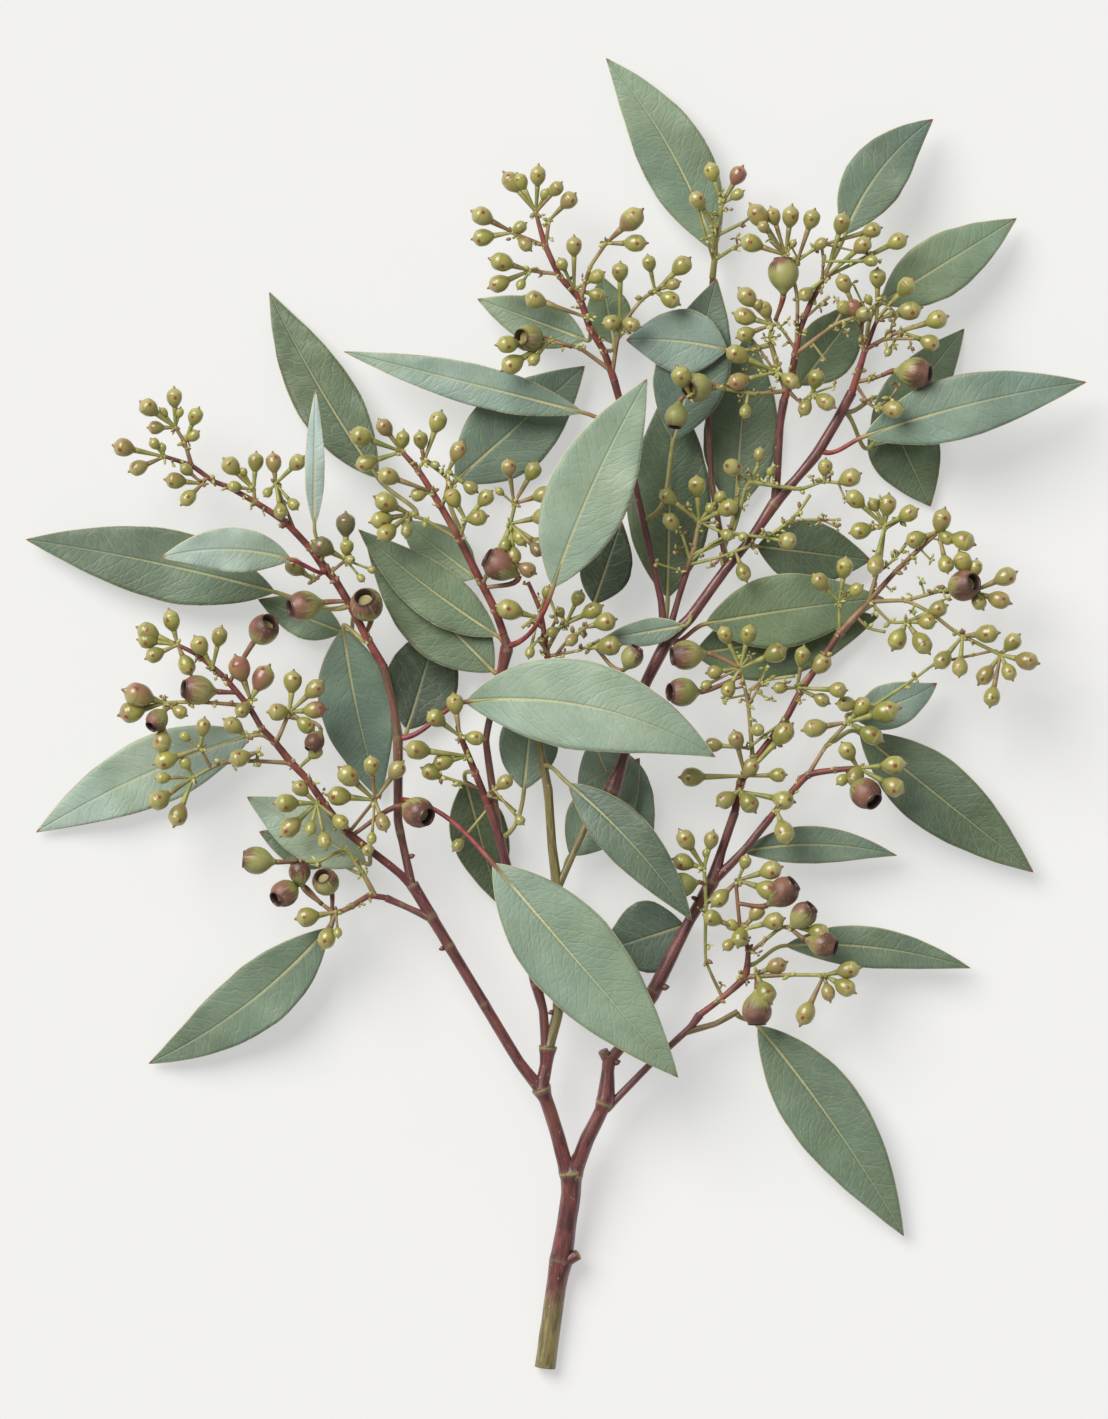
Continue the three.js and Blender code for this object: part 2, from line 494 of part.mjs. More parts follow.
// The way a run heads at one of its places, halfway between the spans that meet there
function headingAt(run, i) {
  const spanWay = (k) => run.places[k + 1].clone().sub(run.places[k]).normalize();
  const last = run.places.length - 1;
  if (i === 0) return spanWay(0);
  if (i === last) return spanWay(last - 1);
  return spanWay(i - 1).add(spanWay(i)).normalize();
}

function tubeSkin(run, sides) {
  const rings = run.places.map((place, i) => roundRing(place, headingAt(run, i), run.radii[i], sides));
  return ringSkin(rings, run.places[0], run.places.at(-1));
}

function solidOf(skin) {
  skin.deleteAttribute("normal");
  skin.deleteAttribute("uv");
  const merged = mergeVertices(skin, 1e-4);
  const mesh = new wasm.Mesh({
    numProp: 3,
    vertProperties: new Float32Array(merged.attributes.position.array),
    triVerts: new Uint32Array(merged.index.array),
  });
  return new wasm.Manifold(mesh);
}

function skinOf(solid) {
  const mesh = solid.getMesh();
  const skin = new THREE.BufferGeometry();
  skin.setAttribute("position", new THREE.BufferAttribute(new Float32Array(mesh.vertProperties), 3));
  skin.setIndex(new THREE.BufferAttribute(new Uint32Array(mesh.triVerts), 1));
  return skin;
}

function joined(skins) {
  return skins.map(solidOf).reduce((whole, piece) => whole.add(piece));
}

// The woody stem, with a small flat under the cut end that it rests on
function stemSkin() {
  const tubes = Object.values(BRANCHES).map((points) => {
    const run = runOf(points);
    return tubeSkin(run, Math.min(...run.radii) > 1.8 ? THICK_SIDES : THIN_SIDES);
  });
  const ground = new THREE.BoxGeometry(60, 60, 10);
  ground.translate(...placed(544, 1340, -5).toArray());
  return skinOf(joined(tubes).subtract(solidOf(ground)));
}

// Every run that a leaf can be seated on
const carriers = [
  ...Object.values(BRANCHES).map(runOf),
  ...Object.values(SPRAYS).flatMap(sprayRuns),
];

// The place on some runs that lies nearest to a place in plan
function nearestOn(runs, px, py) {
  const aim = placed(px, py, 0);
  let best = null;
  for (const run of runs) {
    for (let i = 0; i + 1 < run.places.length; i++) {
      const [from, to] = [run.places[i], run.places[i + 1]];
      const span = to.clone().sub(from);
      const flat = span.clone().setZ(0);
      const share = THREE.MathUtils.clamp(aim.clone().sub(from).setZ(0).dot(flat) / flat.lengthSq(), 0, 1);
      const point = from.clone().addScaledVector(span, share);
      const far = Math.hypot(point.x - aim.x, point.y - aim.y);
      if (best && far > best.far - 1e-6) continue;
      const radius = THREE.MathUtils.lerp(run.radii[i], run.radii[i + 1], share);
      const ends = share === 1 && i + 2 === run.places.length;
      best = { point, far, radius, ends, tangent: span.normalize() };
    }
  }
  return best;
}

// Where a petiole starts: square off the side of its twig, clear by the seat gap
function seatFor(leaf) {
  const seat = nearestOn(carriers, ...leaf.joint);
  const towards = placed(...leaf.base, leaf.rise[0]).sub(seat.point);
  const outwards = towards.addScaledVector(seat.tangent, -towards.dot(seat.tangent)).normalize();
  return {
    start: seat.point.clone().addScaledVector(outwards, seat.radius + SEAT_GAP),
    outwards,
  };
}

// Half the blade's width at a share of its length
function halfWidth(leaf, share) {
  const widest = 0.42;
  const power = Math.log(0.5) / Math.log(widest);
  return (mmOf(leaf.width) / 2) * Math.sin(Math.PI * share ** power) ** 0.9;
}

function leafSkin(leaf, seat) {
  const [baseRise, middleRise, tipRise] = leaf.rise;
  const base = placed(...leaf.base, baseRise);
  const tip = placed(...leaf.tip, tipRise);
  const way = tip.clone().sub(base).setZ(0).normalize();
  const left = new THREE.Vector3(-way.y, way.x, 0);
  const middle = base.clone().lerp(tip, 0.5).setZ(middleRise).addScaledVector(left, mmOf(leaf.bow));
  const bend = middle.clone().multiplyScalar(2).addScaledVector(base, -0.5).addScaledVector(tip, -0.5);
  const blade = new THREE.QuadraticBezierCurve3(base, bend, tip);
  const reach = seat.start.distanceTo(base);
  const petiole = new THREE.CubicBezierCurve3(
    seat.start,
    seat.start.clone().addScaledVector(seat.outwards, reach * 0.35),
    base.clone().addScaledVector(blade.getTangent(0), -reach * 0.35),
    base,
  );
  const ring = (curve, t, half, rib, edge) => {
    const centre = curve.getPoint(t);
    const { across, over } = frameOf(curve.getTangent(t));
    const at = (side, up) => centre.clone().addScaledVector(across, side).addScaledVector(over, up);
    return [at(0, rib), at(half, edge), at(half, -edge), at(0, -rib), at(-half, -edge), at(-half, edge)];
  };
  const rings = [];
  for (let i = 0; i < PETIOLE_STEPS; i++)
    rings.push(ring(petiole, i / PETIOLE_STEPS, PETIOLE_WIDTH / 2, PETIOLE_WIDTH / 2, PETIOLE_WIDTH / 4));
  rings.push(ring(blade, 0, PETIOLE_WIDTH / 2, BLADE_RIB / 2, BLADE_EDGE / 2));
  const steps = base.distanceTo(tip) > LONG_BLADE ? LONG_BLADE_STEPS : SHORT_BLADE_STEPS;
  for (let i = 1; i < steps; i++) {
    const share = i / steps;
    const rib = THREE.MathUtils.lerp(BLADE_RIB, BLADE_EDGE + 0.1, share) / 2;
    rings.push(ring(blade, share, halfWidth(leaf, share), rib, BLADE_EDGE / 2));
  }
  return ringSkin(rings, seat.start, tip, [2, 3]);
}

function leafNode(blades) {
  const seat = seatFor(blades[0]);
  const skins = blades.map((blade) => leafSkin(blade, seat));
  return skins.length > 1 ? skinOf(joined(skins)) : skins[0];
}

// A skin lofted through stations [centre, way, radius, sides] and closed to a point at each end.
// A station has as many sides as the one before it, or twice as many.
function loftSkin(start, stations, end) {
  const points = [start];
  const faces = [];
  let across = frameOf(stations[0][1]).across;
  let before = null;
  for (const [centre, way, radius, sides] of stations) {
    across = across.clone().addScaledVector(way, -across.dot(way)).normalize();
    const over = new THREE.Vector3().crossVectors(across, way);
    const ring = { first: points.length, sides };
    const id = (from, k) => from.first + (k % from.sides);
    for (let k = 0; k < sides; k++) {
      const angle = (2 * Math.PI * k) / sides;
      points.push(
        centre.clone()
          .addScaledVector(over, radius * Math.cos(angle))
          .addScaledVector(across, radius * Math.sin(angle)),
      );
      if (!before) faces.push(0, id(ring, k + 1), id(ring, k));
    }
    for (let k = 0; before && k < before.sides; k++) {
      const [low, lowNext] = [id(before, k), id(before, k + 1)];
      if (before.sides === sides) {
        faces.push(low, lowNext, id(ring, k + 1), low, id(ring, k + 1), id(ring, k));
      } else {
        const between = id(ring, 2 * k + 1);
        faces.push(low, lowNext, between, low, between, id(ring, 2 * k));
        faces.push(lowNext, id(ring, 2 * k + 2), between);
      }
    }
    before = ring;
  }
  for (let k = 0; k < before.sides; k++)
    faces.push(points.length, before.first + k, before.first + ((k + 1) % before.sides));
  points.push(end);
  const skin = new THREE.BufferGeometry().setFromPoints(points);
  skin.setIndex(faces);
  return skin;
}

// A stalked bud: thin pedicel, belly and pointed cap
function budSkin(head, bud) {
  const [px, py, widthPx] = bud;
  const radius = mmOf(widthPx) / 2;
  const length = mmOf(widthPx) * BUD_SLENDERNESS;
  const reach = placed(px, py, head.z).distanceTo(head);
  const lift = Math.min(reach * Math.tan(drawAt(px, py, -0.1, 0.45)), 5);
  const centre = placed(px, py, head.z + lift);
  const way = centre.clone().sub(head).normalize();
  const along = (far) => head.clone().addScaledVector(way, far);
  const middle = centre.distanceTo(head);
  const neck = Math.max(middle - length * 0.62, ROOT_DEPTH + 0.3);
  const stations = [
    [along(ROOT_DEPTH), way, PEDICEL_WIDTH / 2, PEDICEL_SIDES],
    [along(neck), way, PEDICEL_WIDTH / 2, PEDICEL_SIDES],
    [along(middle), way, radius, 2 * PEDICEL_SIDES],
  ];
  return loftSkin(head, stations, along(middle + length * 0.6));
}

// An opened nut on its stalk: neck, belly, and a cup sunk in its mouth
function nutSkin(runs, nut) {
  const [px, py, widthPx, degrees, rootPx, rootPy, lift = 3] = nut;
  const radius = mmOf(widthPx) / 2;
  const length = mmOf(widthPx) * NUT_SLENDERNESS;
  const seat = nearestOn(runs, rootPx, rootPy).point;
  const angle = THREE.MathUtils.degToRad(degrees);
  const way = new THREE.Vector3(Math.cos(angle), Math.sin(angle), 0.25).normalize();
  const centre = placed(px, py, seat.z + lift);
  const along = (far) => centre.clone().addScaledVector(way, far);
  const neck = along(-length * 0.7);
  const stalkWay = neck.clone().sub(seat).normalize();
  const stations = [
    [seat.clone().addScaledVector(stalkWay, 0.3), stalkWay, TWIG_WIDTH / 2, PEDICEL_SIDES],
    [neck, way.clone().add(stalkWay).normalize(), TWIG_WIDTH / 2, PEDICEL_SIDES],
    [along(-length * 0.1), way, radius, 2 * PEDICEL_SIDES],
    [along(length * 0.45), way, radius * 0.62, 2 * PEDICEL_SIDES],
  ];
  return loftSkin(seat, stations, along(length * 0.1));
}

// A twig that ends in the swelling of its last umbel
function twigSkin(run, sides) {
  const last = run.places.length - 1;
  const radii = run.radii.with(last, HEAD_WIDTH / 2);
  const rings = run.places.map((place, i) => roundRing(place, headingAt(run, i), radii[i], sides));
  const end = run.places[last].clone().addScaledVector(headingAt(run, last), HEAD_WIDTH / 2);
  return ringSkin(rings, run.places[0], end);
}

// The small swelling where an umbel's pedicels meet, on a stalk if it stands off its twig
function headSkin(seat, head) {
  const reach = head.distanceTo(seat);
  if (reach < HEAD_WIDTH / 2) {
    const knob = new THREE.OctahedronGeometry(HEAD_WIDTH / 2);
    return knob.translate(head.x, head.y, head.z);
  }
  const way = head.clone().sub(seat).normalize();
  const along = (far) => seat.clone().addScaledVector(way, far);
  const stations = [
    [along(0.3), way, TWIG_WIDTH / 2, SIDE_TWIG_SIDES],
    [along(reach - HEAD_WIDTH / 2), way, TWIG_WIDTH / 2, SIDE_TWIG_SIDES],
    [head, way, HEAD_WIDTH / 2, SIDE_TWIG_SIDES],
  ];
  return loftSkin(seat, stations, along(reach + HEAD_WIDTH / 2));
}

function spraySkin(spray) {
  const runs = sprayRuns(spray);
  const skins = runs.map((run, i) => twigSkin(run, i ? SIDE_TWIG_SIDES : TWIG_SIDES));
  for (const [px, py, lift, buds] of spray.heads) {
    const seat = nearestOn(runs, px, py);
    const head = placed(px, py, seat.point.z + lift);
    const atEnd = seat.ends && head.distanceTo(seat.point) < HEAD_WIDTH / 4;
    if (!atEnd) skins.push(headSkin(seat.point, head));
    for (const bud of buds) skins.push(budSkin(head, bud));
  }
  for (const nut of spray.nuts) skins.push(nutSkin(runs, nut));
  return skinOf(joined(skins));
}

// The runs of a spray: the first stands off its branch end, and each other starts on those before it
function sprayRuns(spray) {
  const [first, ...others] = spray.axes;
  const runs = [seatedRun(runOf(first))];
  for (const points of others) {
    const run = runOf(points);
    const root = nearestOn(runs, points[0][0], points[0][1]).point;
    runs.push({ ...run, places: run.places.with(0, root) });
  }
  return runs;
}

// A run whose start stands off the branch end that carries it
function seatedRun(run) {
  const start = run.places[0].clone().addScaledVector(headingAt(run, 0), BRANCH_END_GAP);
  return { ...run, places: run.places.with(0, start) };
}

const bark = new THREE.MeshStandardMaterial({ color: 0x6b3f38, roughness: 0.55, metalness: 0 });
const foliage = new THREE.MeshStandardMaterial({ color: 0x6d8b78, roughness: 0.6, metalness: 0 });
const fruit = new THREE.MeshStandardMaterial({ color: 0x949a58, roughness: 0.5, metalness: 0 });

function addPiece(group, name, skin, material) {
  const piece = new THREE.Mesh(skin, material);
  piece.name = name;
  group.add(piece);
}

function buildSprig() {
  const sprig = new THREE.Group();
  addPiece(sprig, "stem", stemSkin(), bark);
  for (const [name, spray] of Object.entries(SPRAYS)) addPiece(sprig, name, spraySkin(spray), fruit);
  for (const [name, blades] of Object.entries(LEAVES)) addPiece(sprig, name, leafNode(blades), foliage);
  return sprig;
}

export default buildSprig();
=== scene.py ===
# A eucalyptus gum nut sprig on a pale surface: fine leaves, stems, buds and open nuts round the solids.
import math

import bpy
import numpy as np
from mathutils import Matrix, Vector
from mathutils.noise import noise


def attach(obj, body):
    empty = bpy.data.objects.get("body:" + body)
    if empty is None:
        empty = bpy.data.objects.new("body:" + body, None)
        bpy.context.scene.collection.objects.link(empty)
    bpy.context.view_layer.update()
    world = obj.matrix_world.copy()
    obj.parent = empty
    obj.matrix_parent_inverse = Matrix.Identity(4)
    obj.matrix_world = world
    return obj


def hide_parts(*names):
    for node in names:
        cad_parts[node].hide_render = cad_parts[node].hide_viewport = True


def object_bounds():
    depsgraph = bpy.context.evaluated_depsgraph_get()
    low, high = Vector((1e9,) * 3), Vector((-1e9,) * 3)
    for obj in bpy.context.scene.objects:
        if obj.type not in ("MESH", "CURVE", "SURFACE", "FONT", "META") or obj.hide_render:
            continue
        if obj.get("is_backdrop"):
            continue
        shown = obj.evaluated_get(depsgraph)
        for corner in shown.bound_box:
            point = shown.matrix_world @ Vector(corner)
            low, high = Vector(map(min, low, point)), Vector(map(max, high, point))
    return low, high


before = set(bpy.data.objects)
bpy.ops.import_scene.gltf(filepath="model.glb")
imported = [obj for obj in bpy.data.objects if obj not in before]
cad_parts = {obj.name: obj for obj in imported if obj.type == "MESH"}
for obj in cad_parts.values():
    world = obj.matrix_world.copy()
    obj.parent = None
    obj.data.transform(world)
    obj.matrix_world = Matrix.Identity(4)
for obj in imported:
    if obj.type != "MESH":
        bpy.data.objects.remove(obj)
CAD_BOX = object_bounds()

# Places are pixels of the photograph, as in the solids' source; heights and sizes are millimetres
MM_PER_PX = 448 / (1372 - 55)
MIDDLE_PX, MIDDLE_PY = 555.5, 713.5
PHOTO_SIZE = (1108, 1419)
LOOP = 2 * math.pi

# A leaf: where its blade is widest, its waves and its mesh, and its petiole with the rib it runs on as
BLADE_THICK, RIM_THICK = 0.6, 0.24
BLADE_WIDEST = 0.42
BLADE_CUPPING = 0.035
BLADE_WAVES, BLADE_RIPPLES, RIPPLE_SHARE = 2.2, 6.5, 0.28
WOBBLE, SIDE_WOBBLE = 0.018, 0.022
BLADE_STEPS, BLADE_ACROSS = 44, 16
PETIOLE_WIDTH = 1.6
PETIOLE_STEPS, PETIOLE_SIDES = 14, 8
RIB_SHARES, RIB_WIDTHS = (0.02, 0.05, 0.09, 0.14, 0.2), (0.9, 0.8, 0.66, 0.5, 0.34)
RIB_SUNK = 0.15

# A spray: its twigs, buds and open nuts
TWIG_STEP = 1.6
AXIS_SIDES, TWIG_SIDES = 9, 7
TWIG_END_RADIUS = 0.62
STALK_STEPS = 7
PEDICEL_WIDTH = 0.9
HEAD_WIDTH = 2.2
HEAD_REACH_PX = 44
BUD_SLENDERNESS = 1.25
BUD_SIDES = 14
NUT_SLENDERNESS = 1.05
NUT_SIDES = 20
KNOB_RINGS, KNOB_SIDES = 5, 8
SCALE_SIDES = 6
STUB_SPACING = 3.6
STUB_SHARE = 0.3
# The redness that marks a dry, straw-coloured scale
STRAW = -0.4

# The stem: the mesh of its branches and cuts, and how far a spray's axis starts inside its branch
BRANCH_STEP = 0.8
BRANCH_SIDES, THIN_BRANCH_SIDES = 20, 12
THIN_BRANCH_RADIUS = 2.6
BRANCH_OVERLAP = 0.9
CUT_SHARES, CUT_SIDES = (1.0, 0.9, 0.6, 0.3, 0.04), 24
CUT_LEAN = 0.96
LOWEST = 0.02
# Where the bark of two branches turns from olive at the foot to red: (py, reach in mm)
TRUNK_TURNS_RED, CROSS_TURNS_RED = (1335, 42), (840, 24)

# Metres below the top of the box from which a piece that would pass it is pressed together
TOP_EASE = 0.005

# The table, the lamp and the camera
TABLE_HALF_M = 3.0
TABLE_GLOW = 0.475
STUDIO_LIGHT = 0.34
SUN_STRENGTH, SUN_SPREAD_DEG = 3.35, 40
SUN_WAY = (-0.66, 0.72, 1.0)
SUN_COLOUR = (1.0, 0.985, 0.955)
LENS, SENSOR = 400.0, 36.0
LOOK_HEIGHT = 22.0

# The stem's branches: (px, py, height, width in px)
BRANCHES = {
    "trunk": [
        (545, 1370, 3.1, 21), (556, 1290, 4.6, 20), (561, 1262, 6, 23), (566, 1230, 8, 20),
        (571, 1195, 10.5, 20), (571, 1172, 12, 22), (567, 1160, 13, 15),
    ],
    "stub_low": [(560, 1266, 6.5, 13), (578, 1256, 8.5, 11)],
    "left_base": [(570, 1184, 12, 16), (556, 1130, 16, 14), (546, 1100, 18, 14), (541, 1088, 19, 18)],
    "left_long": [
        (541, 1090, 19, 13), (519, 1062, 19.5, 11), (484, 1004, 20, 11), (449, 946, 20.5, 11),
        (412, 884, 21, 12),
    ],
    "left_outer": [(412, 886, 21, 9), (400, 874, 21.5, 8), (388, 864, 22, 8)],
    "left_inner": [
        (412, 886, 21, 9), (403, 845, 21, 8), (398, 820, 21, 9), (398, 738, 22, 10), (392, 700, 22, 7),
        (383, 665, 22, 9),
    ],
    "left_twig": [(428, 917, 21, 8), (404, 906, 20.5, 6), (386, 898, 20.5, 8)],
    "middle": [(541, 1090, 19, 14), (546, 1065, 19, 13), (548, 1046, 19, 17)],
    "middle_left": [
        (546, 1050, 19, 10), (543, 1010, 19, 9), (536, 984, 19, 11), (507, 868, 19, 10),
        (497, 830, 20, 9), (488, 805, 21, 10),
    ],
    "middle_high": [
        (499, 838, 19.5, 8), (493, 792, 19, 8), (486, 740, 20, 7), (494, 700, 20.5, 7),
        (508, 650, 22, 10), (503, 632, 22.5, 7),
    ],
    "middle_right": [
        (548, 1050, 19, 11), (558, 1010, 18.5, 11), (557, 888, 18, 11), (552, 845, 18.5, 9),
        (548, 790, 19, 9), (540, 745, 19.5, 8), (545, 700, 20.5, 8), (548, 662, 21, 7),
    ],
    "middle_cross": [
        (557, 890, 18, 8), (575, 850, 18.5, 7), (588, 822, 19, 7), (603, 802, 19, 13), (612, 790, 19, 18),
        (624, 757, 19.5, 10), (645, 685, 20.5, 11), (668, 640, 21, 13), (690, 618, 21, 11),
        (725, 570, 21, 10), (750, 540, 21, 9), (775, 503, 21, 12), (797, 478, 21, 9),
        (816, 455, 21.5, 11), (836, 422, 22, 10), (852, 392, 22.5, 10),
    ],
    "high_left": [
        (665, 645, 21, 10), (661, 600, 21, 7), (634, 480, 21, 7), (622, 410, 22, 7), (614, 380, 23, 8),
    ],
    "high_middle": [(668, 635, 21, 8), (678, 600, 21.5, 6), (687, 570, 22, 7)],
    "high_right": [(775, 505, 21, 9), (780, 425, 22, 8), (784, 400, 22.5, 9)],
    "right_base": [
        (572, 1182, 12, 16), (587, 1140, 15, 15), (601, 1112, 16.5, 14), (606, 1098, 17, 18),
        (608, 1070, 17.5, 13), (610, 1056, 17.5, 15),
    ],
    "right_stub": [(608, 1062, 17.5, 10), (603, 1051, 19, 10)],
    "right_long": [
        (610, 1060, 17.5, 12), (622, 1046, 17.5, 11), (640, 1015, 18, 12), (652, 995, 18, 15),
        (690, 920, 19, 11), (712, 882, 19.5, 14), (722, 850, 20, 9), (735, 812, 21, 9),
    ],
    "right_side": [(714, 880, 19.5, 11), (730, 865, 20, 9), (746, 848, 20.5, 8), (770, 818, 21, 8)],
    "low_right": [(606, 1110, 17, 8), (650, 1065, 16, 7), (690, 1028, 16, 7), (700, 1015, 16, 9)],
    "low_side": [(684, 1033, 16, 7), (716, 1024, 15, 6), (738, 1012, 14, 6)],
    "far_high": [
        (728, 566, 21, 8), (722, 540, 14, 6), (712, 480, 12, 6), (708, 400, 12, 6), (710, 330, 11.5, 6),
        (713, 275, 14, 6),
    ],
}

# Pale collars round the stem where it branches: (px, py, strength)
COLLARS = [
    (567, 1173, 1.0), (539, 1091, 1.0), (550, 1049, 0.9), (605, 1104, 0.8), (449, 946, 0.6),
    (428, 918, 0.7), (410, 887, 0.7), (484, 1004, 0.3), (397, 833, 0.6), (554, 790, 0.5), (655, 992, 0.4),
    (712, 882, 0.4), (612, 790, 0.4), (775, 505, 0.4), (668, 640, 0.4), (536, 984, 0.4), (557, 888, 0.5),
    (565, 1262, 0.25), (398, 738, 0.5), (508, 650, 0.4), (604, 1053, 0.5),
]

# How olive the bark of some branches is; the others are red
OLIVE = {
    "stub_low": 0.3, "middle_right": 0.8, "middle_high": 0.4, "low_right": 0.25, "low_side": 0.6,
    "far_high": 0.4, "left_inner": 0.4, "high_right": 0.3,
}

# Dormant buds on the stem: (px, py, direction in degrees, length in mm)
STEM_BUDS = [
    (663, 992, 5, 3.2), (572, 1162, 40, 3.6), (549, 1265, 190, 2.2), (541, 1090, 150, 2.6),
    (605, 1065, 20, 2.8), (449, 946, 200, 2.4), (398, 860, 20, 2.4), (700, 900, 160, 2.2),
    (590, 1010, 200, 2.4),
]

